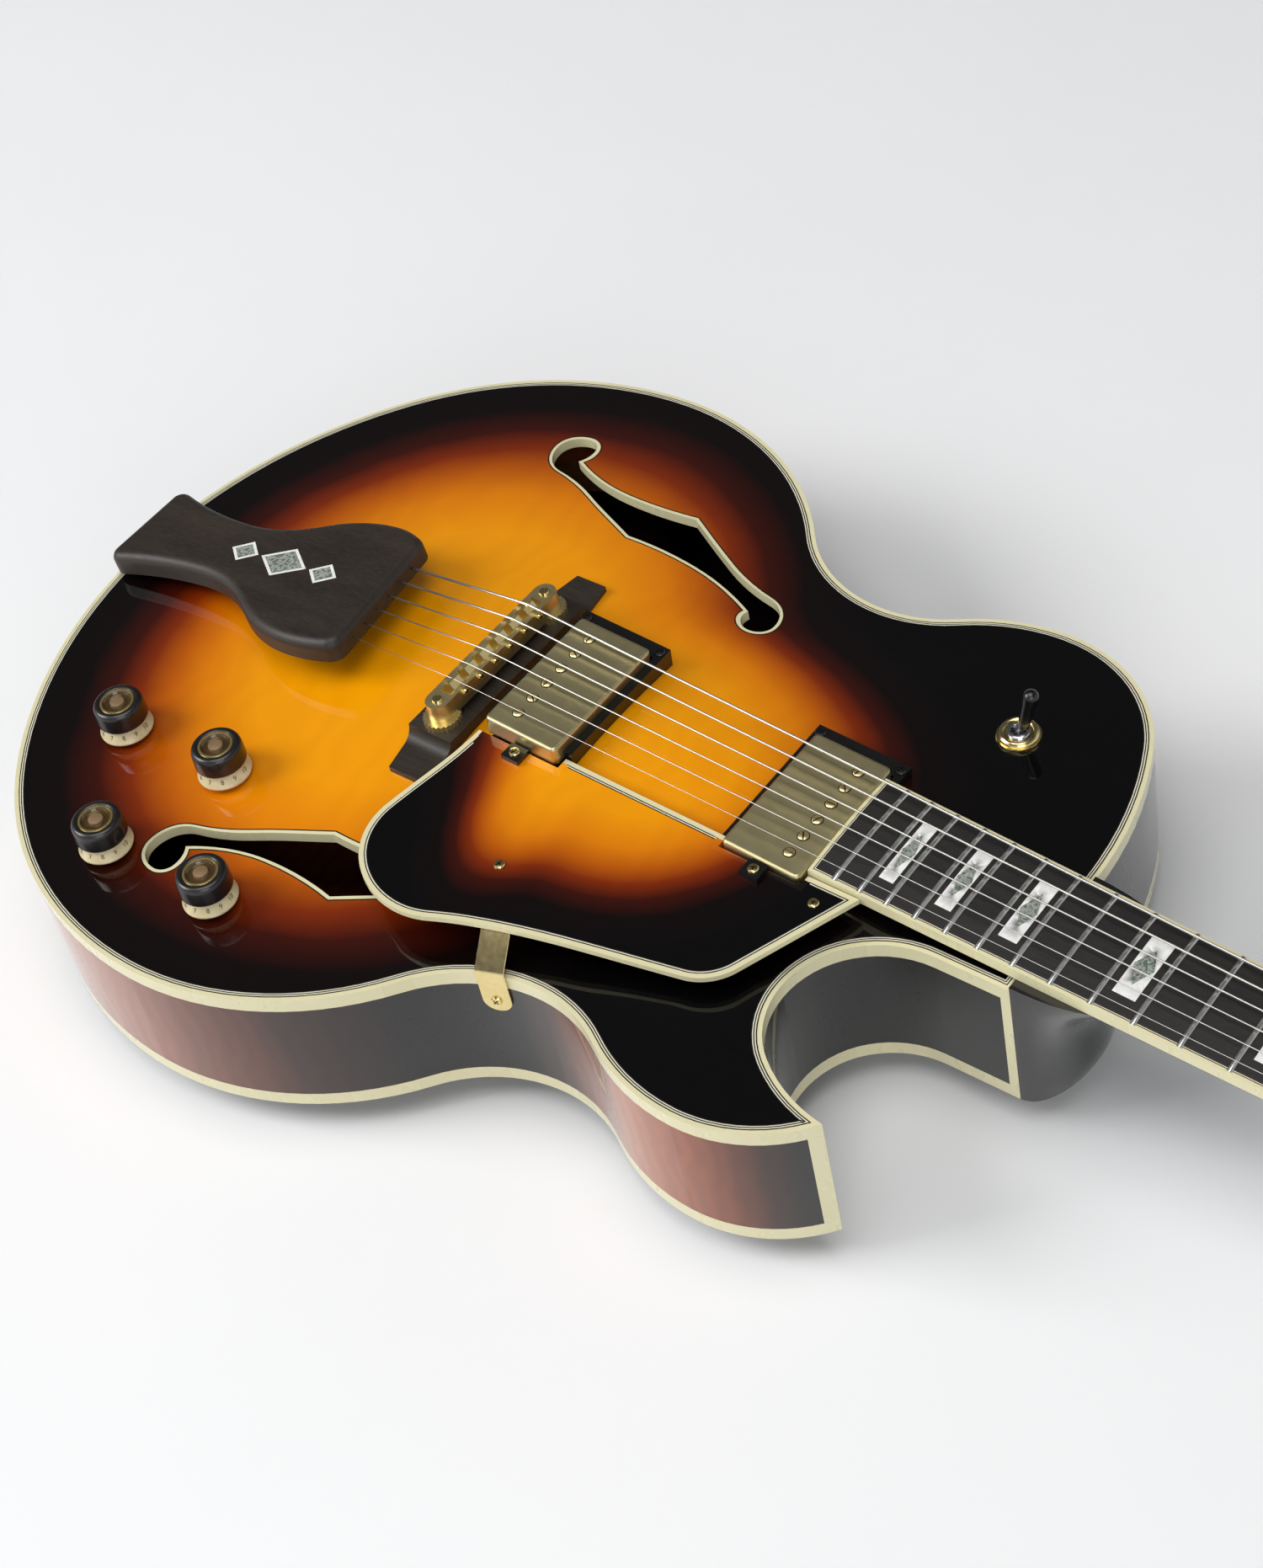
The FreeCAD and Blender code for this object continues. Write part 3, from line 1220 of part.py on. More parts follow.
def make_guard():
    wire = guard_wire()
    core = prism(inset(wire, D.guard_edge), -D.guard_wall, 0)
    shaped("pickguard", core, GUARD)
    shaped("pickguard_binding", one(ring(wire, 0, D.guard_edge, -D.guard_wall, 0)), GUARD)


def guard_level(y):
    return TOP_RIM + D.guard_rise - y * math.tan(math.radians(D.guard_angle))


bracket_root = flat(D.bracket_across, D.bracket_along)
bracket_hit = outline.distToShape(Part.Vertex(bracket_root))[1][0][0]
BRACKET = Place(bracket_root, Rot(ACROSS, bracket_hit - bracket_root))
BRACKET_REACH = (bracket_hit - bracket_root).Length + D.bracket_gap


def make_bracket():
    """A bent strip from under the pickguard, over the binding and down the side."""
    slope = math.tan(math.radians(D.guard_angle)) * D.bracket_width
    high = guard_level(D.bracket_along) - D.guard_wall - slope
    wall = D.bracket_wall
    low = TOP_RIM + D.bracket_gap
    reach = BRACKET_REACH
    points = [Vec(-D.bracket_tab, 0, high - wall), Vec(0, 0, high - wall), Vec(reach, 0, low + wall),
              Vec(reach, 0, TOP_RIM - D.bracket_drop), Vec(reach + wall, 0, TOP_RIM - D.bracket_drop),
              Vec(reach + wall, 0, low + 2 * wall), Vec(wall / 2, 0, high), Vec(-D.bracket_tab, 0, high)]
    strip = polygon_prism(points, ALONG * D.bracket_width)
    strip.translate(Vec(0, -D.bracket_width / 2, 0))
    corners = [edge for edge in strip.Edges if abs(edge.tangentAt(edge.FirstParameter).x) > 0.9
               and edge.CenterOfMass.z < TOP_RIM - D.bracket_drop + 0.1]
    strip = strip.makeFillet(D.bracket_width / 2.2, corners)
    hole = rod(Vec(0, 0, screw_drop()), Vec(HIGH, 0, screw_drop()), D.pole_shank)
    shaped("pickguard_bracket", strip.cut(hole), BRACKET)


def screw_drop():
    return TOP_RIM - D.bracket_drop + D.bracket_width / 2


# Small screws: frames, ears, pickguard, bracket, rod cover
def screw(head_centre, direction, length):
    head = rod(head_centre, head_centre + direction * D.screw_wall, D.screw_head)
    shank = rod(head_centre - direction * length, head_centre, D.pole_shank - D.running_gap)
    return one(head.fuse(shank))


def make_screws():
    solids = []
    for place, top, side in PICKUPS:
        for row in (-1, 1):
            spot = Vec(-D.cover_length / 2 - D.frame_end / 2, place + row * (D.cover_width / 2 + 1),
                       top - D.frame_drop)
            solids.append(placed(head_only(spot), NECK))
        solids.append(placed(head_only(Vec(NOTCH + D.ear_length / 2, place, D.ear_wall)), GUARD))
    for spot in (flat(D.guard_screw_across, D.guard_screw_along), flat(D.tip_screw_across, D.tip_screw_along)):
        solids.append(placed(head_only(spot), GUARD))
    for along in (D.rod_cover_start + D.rod_screw_inset, D.rod_cover_end - D.rod_screw_inset):
        solids.append(placed(head_only(Vec(0, along, D.cover_wall)), HEAD))
    spot = Vec(BRACKET_REACH + D.bracket_wall, 0, screw_drop())
    solids.append(placed(screw(spot, ACROSS, D.bracket_wall), BRACKET))
    shaped("screws", Part.makeCompound(solids))


def head_only(spot):
    return Part.makeCylinder(D.screw_head, D.screw_wall, spot)


# Controls
def make_knobs():
    shaft = S.control_shaft
    base = S.shaft_length
    top = S.shaft_length + S.knob_height
    inner = S.nut_radius + S.mesh_gap * 4
    profile = [(0, 0), (shaft, 0), (shaft, base + S.knob_recess), (inner, base + S.knob_recess), (inner, base),
               (S.knob_radius, base), (S.knob_radius, base + S.skirt_wall),
               (S.cap_radius - S.skirt_wall, base + S.skirt_height), (S.cap_radius, base + S.skirt_height),
               (S.cap_radius, base + S.skirt_height + S.skirt_wall),
               (S.knob_top_radius + S.skirt_wall / 2, top - S.skirt_wall), (S.knob_top_radius, top), (0, top)]
    for number, spot in enumerate(KNOB_PLACES, start=1):
        level = top_level(spot.x, spot.y) + D.knob_gap - D.shaft_length
        knob = turned("knob_%d" % number, profile)
        keep(knob, "knob_%d" % number, Place(spot + UP * level, Rot()))


def make_pots():
    solids = []
    for spot in KNOB_PLACES:
        level = top_level(spot.x, spot.y)
        roof = level - D.plate_wall - D.screw_wall
        rise = D.knob_gap + D.knob_recess - D.mesh_gap * 2
        can = Part.makeCylinder(D.pot_radius, D.pot_height, spot + UP * (roof - D.pot_height))
        bush = Part.makeCylinder(D.bush_radius, level + rise - roof, spot + UP * roof)
        nut = Part.makeCylinder(D.nut_radius, rise - D.mesh_gap, spot + UP * level).cut(below_top)
        bore = Part.makeCylinder(D.control_shaft + D.running_gap, HIGH,
                                 spot + UP * (level + D.knob_gap - D.shaft_length - D.running_gap))
        solids.append(one(can.multiFuse([bush, nut]).cut(bore)))
    shaped("pots", Part.makeCompound(solids))


SWITCH_LEVEL = top_level(SWITCH.x, SWITCH.y)
LEVER_AXIS = Vec(-0.8, -0.6, 0)


def make_switch():
    roof = SWITCH_LEVEL - D.plate_wall - D.screw_wall
    can = block(-D.switch_can_half, D.switch_can_half, -D.switch_can_side, D.switch_can_side,
                roof - D.switch_can_depth, roof)
    can.translate(SWITCH)
    bush = Part.makeCylinder(D.jack_outer, SWITCH_LEVEL + D.knob_gap - roof, SWITCH + UP * roof)
    seat = SWITCH + UP * SWITCH_LEVEL
    nut = Part.makeCone(D.switch_nut, D.switch_nut - D.nut_taper, D.switch_nut_wall, seat)
    nut = nut.cut(below_top)
    bore = Part.makeCylinder(D.lever_ball + D.mesh_gap, HIGH, SWITCH + UP * (roof - D.lever_ball))
    pivot = SWITCH + UP * (SWITCH_LEVEL - D.lever_ball)
    pin_half = LEVER_AXIS * D.lever_pin_half
    pin_end = LEVER_AXIS * (D.lever_pin_half + D.mesh_gap)
    pin_way = rod(pivot - pin_end, pivot + pin_end, D.lever_pin + D.running_gap)
    shaped("switch_body", one(can.multiFuse([bush, nut]).cut([bore, pin_way])))
    ball = Part.makeSphere(D.lever_ball)
    stem = Part.makeCylinder(D.lever_stem, D.lever_length / 2)
    tip = Part.makeCone(D.lever_tip * 0.72, D.lever_tip, D.lever_length * 0.75, UP * D.lever_length * 0.4)
    crown = Part.makeSphere(D.lever_tip, UP * D.lever_length * 1.15)
    pin = rod(pin_half * -1, pin_half, D.lever_pin)
    lever = one(ball.multiFuse([stem, tip, crown, pin]))
    shaped("switch_lever", lever, Place(pivot, Rot(LEVER_AXIS, D.switch_lean)))


def make_jack():
    inner = JACK_SPOT - JACK_OUT * D.jack_length
    sleeve = rod(inner, JACK_SPOT + JACK_OUT * D.screw_wall * 2, D.jack_outer)
    flange = rod(JACK_SPOT + JACK_OUT * D.mesh_gap, JACK_SPOT + JACK_OUT * D.screw_wall * 1.5, D.jack_flange)
    bore = rod(inner - JACK_OUT, JACK_SPOT + JACK_OUT * DEEP, D.jack_radius)
    shaped("output_jack", one(sleeve.fuse(flange).cut(bore)))


def make_strap_button():
    profile = [(0, 0), (S.strap_radius - S.hanger_wall, 0), (S.strap_neck, S.strap_height / 3),
               (S.strap_neck, S.strap_height * 0.6), (S.strap_radius, S.strap_height * 0.8),
               (S.strap_radius - S.hanger_wall, S.strap_height), (0, S.strap_height)]
    button = turned("strap_button", profile)
    outer_y = -D.tail_reach - D.mesh_gap - D.hanger_wall
    keep(button, "strap_button", Place(Vec(0, outer_y, strap_level()), Rot(ACROSS, 90)))


# Leads inside the body: straight runs joined by tangent arcs
def lead(points):
    edges = []
    start = points[0]
    for before, corner, after in zip(points, points[1:], points[2:]):
        back = (before - corner).normalize()
        ahead = (after - corner).normalize()
        half_angle = back.getAngle(ahead) / 2
        trim = 0.45 * min((before - corner).Length, (after - corner).Length)
        bisector = (back + ahead).normalize()
        radius = trim * math.tan(half_angle)
        middle = corner + bisector * (trim / math.cos(half_angle) - radius)
        edges.append(line(start, corner + back * trim))
        edges.append(Part.Arc(corner + back * trim, middle, corner + ahead * trim).toShape())
        start = corner + ahead * trim
    edges.append(line(start, points[-1]))
    path = Part.Wire(edges)
    first = (points[1] - points[0]).normalize()
    section = Part.Wire(Part.Circle(points[0], first, D.lead_radius).toShape())
    return path.makePipeShell([section], True, True)


def pot_side(number, turn):
    """A soldering point on the rim of a pot's can."""
    spot = KNOB_PLACES[number]
    level = top_level(spot.x, spot.y) - D.plate_wall - D.screw_wall - D.pot_height / 2
    out = Vec(math.cos(math.radians(turn)), math.sin(math.radians(turn)), 0)
    return spot + UP * level + out * (D.pot_radius + D.lead_radius * 0.7)


def under_pickup(place, top, x):
    return NECK.multVec(Vec(x, place, top - D.cover_height - D.screw_wall - D.running_gap))


def make_wiring():
    low = BACK_RIM + D.rim_depth * 0.62
    bridge_out = under_pickup(D.bridge_pickup, D.bridge_pickup_rise, 20)
    neck_out = under_pickup(D.neck_pickup, D.neck_pickup_rise, 20)
    first = pot_side(1, 90)
    second = pot_side(3, 150)
    routes = [
        [bridge_out, flat(bridge_out.x, bridge_out.y, low), flat(60, -10, low),
         flat(first.x, -30, first.z), first],
        [neck_out, flat(neck_out.x, neck_out.y, low + 5), flat(80, 90, low + 6),
         flat(120, 20, second.z - 4), second],
        [pot_side(0, 60), flat(118, -112, low + 12), pot_side(2, 170)],
    ]
    can_low = SWITCH_LEVEL - D.plate_wall - D.screw_wall - D.switch_can_depth
    switch_out = SWITCH + UP * (can_low - D.running_gap)
    third = pot_side(0, 150)
    routes.append([switch_out, flat(switch_out.x, switch_out.y, 40), flat(-70, 120, 34), flat(0, -60, 34),
                   flat(60, -130, 50), third])
    jack_in = JACK_SPOT - JACK_OUT * (D.jack_length + D.running_gap)
    fourth = pot_side(0, -80)
    routes.append([jack_in, jack_in - JACK_OUT * 20, flat(fourth.x, fourth.y - 14, fourth.z), fourth])
    shaped("wiring", Part.makeCompound([lead(route) for route in routes]))


make_top()
make_back()
make_rims()
make_inner_wood()
make_bindings()
make_neck()
make_fingerboard()
make_nut()
make_head_faces()
make_housings()
make_tuners()
make_strings()
make_tailpiece()
make_bridge()
make_pickups()
make_guard()
make_bracket()
make_screws()
make_knobs()
make_pots()
make_switch()
make_jack()
make_strap_button()
make_wiring()
doc.recompute()

faults = []
for item in doc.Objects:
    if "Invalid" in item.State or "Error" in item.State:
        faults.append(item.Label + " state")
for node in NODES:
    if node.Shape.isNull() or not node.Shape.isValid() or not node.Shape.Solids:
        faults.append(node.Label + " shape")
if faults:
    raise RuntimeError("faulty pieces: " + ", ".join(faults))

os.makedirs("parts", exist_ok=True)
for node in NODES:
    node.Shape.exportStep("parts/%s.step" % node.Label)
print("%d nodes, %d solids" % (len(NODES), sum(len(node.Shape.Solids) for node in NODES)))
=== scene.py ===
# %% [markdown]
# # An archtop guitar, finished for the studio
#
# The guitar's construction arrives as named solids in one shared frame, in metres. The lesson gives each
# of them the surface it has on a real instrument, rebuilds the small pieces that need finer shape than
# construction solids carry, and sets up a pale floor, soft light and a camera.

import math

import bmesh
import bpy
from mathutils import Matrix, Vector
from mathutils.bvhtree import BVHTree


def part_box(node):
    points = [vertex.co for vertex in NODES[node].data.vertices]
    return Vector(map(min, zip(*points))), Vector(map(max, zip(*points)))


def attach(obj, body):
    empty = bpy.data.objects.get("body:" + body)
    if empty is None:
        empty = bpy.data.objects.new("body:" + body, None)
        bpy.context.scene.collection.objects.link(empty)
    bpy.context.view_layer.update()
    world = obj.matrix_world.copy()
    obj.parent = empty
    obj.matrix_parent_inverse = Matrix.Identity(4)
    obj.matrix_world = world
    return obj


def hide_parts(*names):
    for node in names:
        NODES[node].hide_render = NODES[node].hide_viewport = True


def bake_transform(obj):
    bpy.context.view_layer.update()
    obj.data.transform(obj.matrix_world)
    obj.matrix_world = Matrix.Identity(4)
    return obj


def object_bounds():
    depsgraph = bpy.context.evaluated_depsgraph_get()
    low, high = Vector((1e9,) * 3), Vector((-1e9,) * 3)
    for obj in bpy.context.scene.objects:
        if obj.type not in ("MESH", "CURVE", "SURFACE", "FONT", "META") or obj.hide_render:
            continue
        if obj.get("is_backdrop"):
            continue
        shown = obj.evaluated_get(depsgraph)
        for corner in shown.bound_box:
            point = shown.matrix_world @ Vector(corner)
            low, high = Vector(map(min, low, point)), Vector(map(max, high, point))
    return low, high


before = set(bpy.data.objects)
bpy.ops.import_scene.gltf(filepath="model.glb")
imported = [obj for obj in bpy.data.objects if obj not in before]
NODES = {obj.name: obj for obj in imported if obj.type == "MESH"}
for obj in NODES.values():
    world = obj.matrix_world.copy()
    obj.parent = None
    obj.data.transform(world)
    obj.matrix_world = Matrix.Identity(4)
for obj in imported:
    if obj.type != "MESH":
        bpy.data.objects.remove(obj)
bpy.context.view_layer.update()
MM = 0.001
UP = Vector((0.0, 0.0, 1.0))
print("construction solids:", len(NODES))


# %% [markdown]
# ## Tilted planes
#
# A guitar has several tilted planes: the neck leans back from the body, the headstock leans back further,
# and the pickguard and the tailpiece float over the top at small angles of their own. Each plane is kept
# as one matrix, so that every small piece can be placed in the plane it belongs to and not by coordinates
# of the room.

# %% The tilted planes
def leaning(origin, angle):
    """A plane through a point, in millimetres, that leans about X by some degrees."""
    return Matrix.Translation(Vector(origin) * MM) @ Matrix.Rotation(math.radians(angle), 4, "X")


NECK = leaning((0, 0, 116.5), -4.5)
HEAD = NECK @ leaning((0, 633, -6.5), -10)
GUARD = leaning((0, 0, 107.5), -2.9)
TAIL = leaning((0, -225, 99.4), 8.2)
NECK_UP, HEAD_UP, GUARD_UP, TAIL_UP = (plane.to_3x3() @ UP for plane in (NECK, HEAD, GUARD, TAIL))
print("planes: neck, headstock, pickguard, tailpiece")


# %% [markdown]
# ## Helpers for shader nodes
#
# A material is a small network. It could be drawn by hand in the shader editor; written as code it stays
# easy to repeat. The first helpers turn everyday 0-255 colours into shader colours and add a node with
# its sockets filled, either by a constant or by a link.

# %% Colours and sockets
def tone(red, green, blue):
    """A display colour of 0-255 steps as the linear colour that shaders work in."""
    shares = [value / 255 for value in (red, green, blue)]
    linear = [s / 12.92 if s <= 0.04045 else ((s + 0.055) / 1.055) ** 2.4 for s in shares]
    return (*linear, 1.0)


def feed(tree, socket, value):
    if isinstance(value, bpy.types.NodeSocket):
        tree.links.new(value, socket)
    else:
        socket.default_value = value


def add(tree, kind, inputs=None, **properties):
    node = tree.nodes.new(kind)
    for key, value in properties.items():
        setattr(node, key, value)
    for key, value in (inputs or {}).items():
        feed(tree, node.inputs[key], value)
    return node


print("middle grey as a shader colour:", round(tone(128, 128, 128)[0], 3))


# %% [markdown]
# Sums, stretched values, colour ramps and blends are the verbs of every material, so each gets a short
# name. In the shader editor each would be one node and a few links; here it is one call.

# %% Sums, ramps and blends
def calc(tree, operation, first, second=0.0, third=0.0):
    return add(tree, "ShaderNodeMath", {0: first, 1: second, 2: third}, operation=operation).outputs[0]


def span(tree, value, low, high):
    """A 0-1 value stretched to lie between two limits."""
    return add(tree, "ShaderNodeMapRange", {"Value": value, "To Min": low, "To Max": high}).outputs[0]


def between(tree, value, low, high):
    """0 below one limit, 1 above another, and a slope in between."""
    return add(tree, "ShaderNodeMapRange", {"Value": value, "From Min": low, "From Max": high}).outputs[0]


def ramp(tree, factor, stops):
    node = add(tree, "ShaderNodeValToRGB", {"Fac": factor})
    points = node.color_ramp.elements
    while len(points) < len(stops):
        points.new(0.5)
    for point, (place, colour) in zip(points, stops):
        point.position = place
        point.color = tone(*colour)
    return node.outputs["Color"]


def mix(tree, factor, first, second, blend="MIX"):
    node = add(tree, "ShaderNodeMix", {"Factor": factor}, data_type="RGBA", blend_type=blend)
    feed(tree, node.inputs[6], first)
    feed(tree, node.inputs[7], second)
    return node.outputs[2]


print("helpers for sums, ramps and blends")


# %% [markdown]
# A new material starts from the one shader that Blender puts in it. Relief comes from a bump node, which
# tilts the light on a surface without moving it and so costs no geometry.

# %% Starting a material
def fresh(name):
    material = bpy.data.materials.new(name)
    material.use_nodes = True
    return material, material.node_tree, material.node_tree.nodes["Principled BSDF"]


def set_shader(tree, shader, values):
    for name, value in values.items():
        feed(tree, shader.inputs[name], value)


def place_of(tree):
    return add(tree, "ShaderNodeTexCoord").outputs["Object"]


def bump(tree, shader, height, strength, distance=0.0002):
    node = add(tree, "ShaderNodeBump", {"Height": height, "Strength": strength, "Distance": distance})
    tree.links.new(node.outputs["Normal"], shader.inputs["Normal"])


print("helpers for materials")


# %% [markdown]
# ## Shared effects
#
# Three effects come back all over a guitar, so each is one node group: a small network with named inputs
# and outputs that any material can hold. Copied nodes would do as well, but a change would have to be
# made in each copy.

# %% Making node groups
VECTOR, FLOAT = "NodeSocketVector", "NodeSocketFloat"


def new_group(name, inputs, outputs):
    group = bpy.data.node_groups.new(name, "ShaderNodeTree")
    for label, kind in inputs:
        group.interface.new_socket(label, in_out="INPUT", socket_type=kind)
    for label, kind in outputs:
        group.interface.new_socket(label, in_out="OUTPUT", socket_type=kind)
    return group, group.nodes.new("NodeGroupInput").outputs, group.nodes.new("NodeGroupOutput").inputs


def use(tree, group, inputs):
    node = add(tree, "ShaderNodeGroup", None, node_tree=group)
    for key, value in inputs.items():
        feed(tree, node.inputs[key], value)
    return node.outputs


print("helpers for node groups")

# %% [markdown]
# The first group measures how far a point lies from the middle of an ellipse, in shares of its reach. A
# sunburst is sprayed that way: the painter's gun follows an oval.

# %% Ellipse field
ELLIPSE, given, result = new_group("ellipse_field",
                                   [("Point", VECTOR), ("Centre", VECTOR), ("Reach", VECTOR)],
                                   [("Distance", FLOAT)])
shifted = add(ELLIPSE, "ShaderNodeVectorMath", {0: given["Point"], 1: given["Centre"]}, operation="SUBTRACT")
scaled = add(ELLIPSE, "ShaderNodeVectorMath", {0: shifted.outputs[0], 1: given["Reach"]}, operation="DIVIDE")
length = add(ELLIPSE, "ShaderNodeVectorMath", {0: scaled.outputs[0]}, operation="LENGTH")
feed(ELLIPSE, result["Distance"], length.outputs["Value"])
print("node group:", ELLIPSE.name)

# %% [markdown]
# The second group gives any surface its variation: broad clouds for colour, fine grain for gloss and
# relief, and slanting hairlines for the marks that a cloth leaves.

# %% Surface variation
SURFACE, given, result = new_group("surface_variation",
                                   [("Point", VECTOR), ("Stretch", VECTOR), ("Scale", FLOAT)],
                                   [("Broad", FLOAT), ("Fine", FLOAT), ("Scratches", FLOAT)])
longer = add(SURFACE, "ShaderNodeVectorMath", {0: given["Point"], 1: given["Stretch"]}, operation="MULTIPLY")
drawn = longer.outputs[0]
broad = add(SURFACE, "ShaderNodeTexNoise", {"Vector": drawn, "Scale": given["Scale"], "Detail": 4.0})
finer = calc(SURFACE, "MULTIPLY", given["Scale"], 14.0)
fine = add(SURFACE, "ShaderNodeTexNoise", {"Vector": drawn, "Scale": finer, "Detail": 6.0})
slant = add(SURFACE, "ShaderNodeMapping", {"Vector": given["Point"], "Rotation": (0.0, 0.0, 0.7),
                                           "Scale": (900.0, 45.0, 500.0)})
hair = add(SURFACE, "ShaderNodeTexNoise", {"Vector": slant.outputs[0], "Scale": 1.0, "Detail": 2.0})
feed(SURFACE, result["Broad"], broad.outputs[0])
feed(SURFACE, result["Fine"], fine.outputs[0])
feed(SURFACE, result["Scratches"], between(SURFACE, hair.outputs[0], 0.66, 0.74))
print("node group:", SURFACE.name)

# %% [markdown]
# The third group gives the clouded colours of shell: a twisted cloud, and cells like small flakes. A
# picture of shell would repeat from inlay to inlay; clouds that depend on the place don't.

# %% Shell clouds
SHELL, given, result = new_group("shell_clouds", [("Point", VECTOR), ("Scale", FLOAT)],
                                 [("Cloud", FLOAT), ("Flake", FLOAT)])
swirl = add(SHELL, "ShaderNodeTexNoise", {"Vector": given["Point"], "Scale": given["Scale"], "Detail": 3.0,
                                          "Distortion": 1.6})
flakes = add(SHELL, "ShaderNodeTexVoronoi", {"Vector": given["Point"], "Scale": given["Scale"]})
feed(SHELL, result["Cloud"], swirl.outputs[0])
feed(SHELL, result["Flake"], flakes.outputs["Distance"])
print("node group:", SHELL.name)

# %% [markdown]
# ## The sunburst
#
# A sunburst is lacquer sprayed in rings: amber over the bare middle, then red-brown, then nearly black at
# the rim. A painted picture would do it, but only for one size. Here the shader melts some ellipses into
# one distance and reads the colour from it. Faint flames stay from the maple, and a clear coat lies over
# everything.

# %% Sunburst recipe
BURST = [(0.0, (240, 159, 2)), (0.38, (236, 150, 2)), (0.52, (218, 124, 2)), (0.61, (180, 86, 2)),
         (0.68, (122, 40, 3)), (0.75, (56, 12, 3)), (0.83, (12, 3, 2)), (1.0, (2, 2, 3))]
BURST_REACH = 0.8
WHITE = (1, 1, 1, 1)


def oval_field(tree, point, ovals, melt):
    """The distance from the nearest of some ovals, melted together where they meet."""
    field = None
    for centre, reach in ovals:
        oval = use(tree, ELLIPSE, {"Point": point, "Centre": centre, "Reach": reach})["Distance"]
        field = oval if field is None else calc(tree, "SMOOTH_MIN", field, oval, melt)
    return field


def burst_material(name, ovals, strength):
    material, tree, shader = fresh(name)
    point = place_of(tree)
    surface = use(tree, SURFACE, {"Point": point, "Stretch": (1.0, 0.35, 1.0), "Scale": 18.0})
    mottling = span(tree, surface["Broad"], -0.04, 0.04)
    mottled = calc(tree, "ADD", oval_field(tree, point, ovals, 0.22), mottling)
    colour = ramp(tree, calc(tree, "MULTIPLY", mottled, BURST_REACH), BURST)
    flame = add(tree, "ShaderNodeTexWave", {"Vector": point, "Scale": 17.0, "Distortion": 14.0, "Detail": 2.0,
                                            "Detail Scale": 0.9}, bands_direction="Y")
    shade = mix(tree, span(tree, flame.outputs["Fac"], 0.0, strength), WHITE, tone(196, 150, 120))
    set_shader(tree, shader, {"Base Color": mix(tree, 1.0, colour, shade, "MULTIPLY"),
                              "Roughness": span(tree, surface["Fine"], 0.3, 0.42), "Specular IOR Level": 0.05,
                              "Coat Weight": span(tree, surface["Scratches"], 1.0, 0.75),
                              "Coat Roughness": 0.035})
    bump(tree, shader, surface["Fine"], 0.03)
    return material


print("sunburst colours:", len(BURST))

# %% [markdown]
# On this body the amber is one wide oval over the lower half and a narrow one that reaches up between the
# pickups. The guard has a burst of its own, which follows its crooked outline with two ovals.

# %% Sunburst on top and guard
FAR = 10.0
FLAMES = 0.06
TOP_OVALS = [((0.0, -0.042, 0.0), (0.176, 0.154, FAR)), ((-0.003, 0.055, 0.0), (0.093, 0.146, FAR))]
GUARD_OVALS = [((0.006, 0.068, 0.0), (0.100, 0.041, FAR)), ((-0.002, 0.093, 0.0), (0.095, 0.085, FAR))]
burst_top = burst_material("burst_top", TOP_OVALS, FLAMES)
burst_guard = burst_material("burst_guard", GUARD_OVALS, FLAMES)
print("sunburst on", burst_top.name, "and", burst_guard.name)


# %% [markdown]
# ## The sides and back
#
# The sides are bent maple, sprayed red-brown on the bulges and black at the waist and the ends. Their
# gloss does most of the work: it mirrors the pale floor. The same ellipse field fades the brown in and
# out along the body.

# %% Lacquer for sides and back
def side_material(name, ovals):
    material, tree, shader = fresh(name)
    point = place_of(tree)
    surface = use(tree, SURFACE, {"Point": point, "Stretch": (1.0, 1.0, 0.3), "Scale": 16.0})
    mottling = span(tree, surface["Broad"], -0.12, 0.12)
    mottled = calc(tree, "ADD", oval_field(tree, point, ovals, 0.2), mottling)
    colour = ramp(tree, mottled, [(0.0, (176, 98, 52)), (0.45, (140, 70, 38)), (0.8, (52, 26, 18)),
                                  (1.0, (8, 7, 7))])
    flame = add(tree, "ShaderNodeTexWave", {"Vector": point, "Scale": 34.0, "Distortion": 7.0, "Detail": 2.0},
                bands_direction="Y")
    shade = mix(tree, span(tree, flame.outputs["Fac"], 0.0, 0.25), WHITE, tone(190, 150, 130))
    set_shader(tree, shader, {"Base Color": mix(tree, 1.0, colour, shade, "MULTIPLY"),
                              "Roughness": span(tree, surface["Fine"], 0.28, 0.4), "Specular IOR Level": 0.1,
                              "Coat Weight": span(tree, surface["Scratches"], 1.0, 0.8),
                              "Coat Roughness": 0.05})
    bump(tree, shader, surface["Fine"], 0.04)
    return material


LOWER_BULGE, UPPER_BULGE = (0.14, 0.16, FAR), (0.05, 0.075, FAR)
SIDE_OVALS = [((0.16, -0.10, 0.05), LOWER_BULGE), ((-0.16, -0.10, 0.05), LOWER_BULGE),
              ((0.14, 0.175, 0.05), UPPER_BULGE), ((-0.15, 0.20, 0.05), UPPER_BULGE)]
BACK_OVALS = [((0.0, -0.05, 0.0), (0.18, 0.17, FAR)), ((0.0, 0.07, 0.0), (0.12, 0.17, FAR))]
side_lacquer = side_material("side_lacquer", SIDE_OVALS)
back_lacquer = side_material("back_lacquer", BACK_OVALS)
print("lacquer:", side_lacquer.name, back_lacquer.name)


# %% [markdown]
# ## One recipe for the plainer surfaces
#
# Ebony, plastic, celluloid, bone and metal differ in colour, gloss and grain, but are all made the same
# way here: two tones clouded together, grain drawn out along one direction, roughness that varies,
# hairline scratches and a little relief.

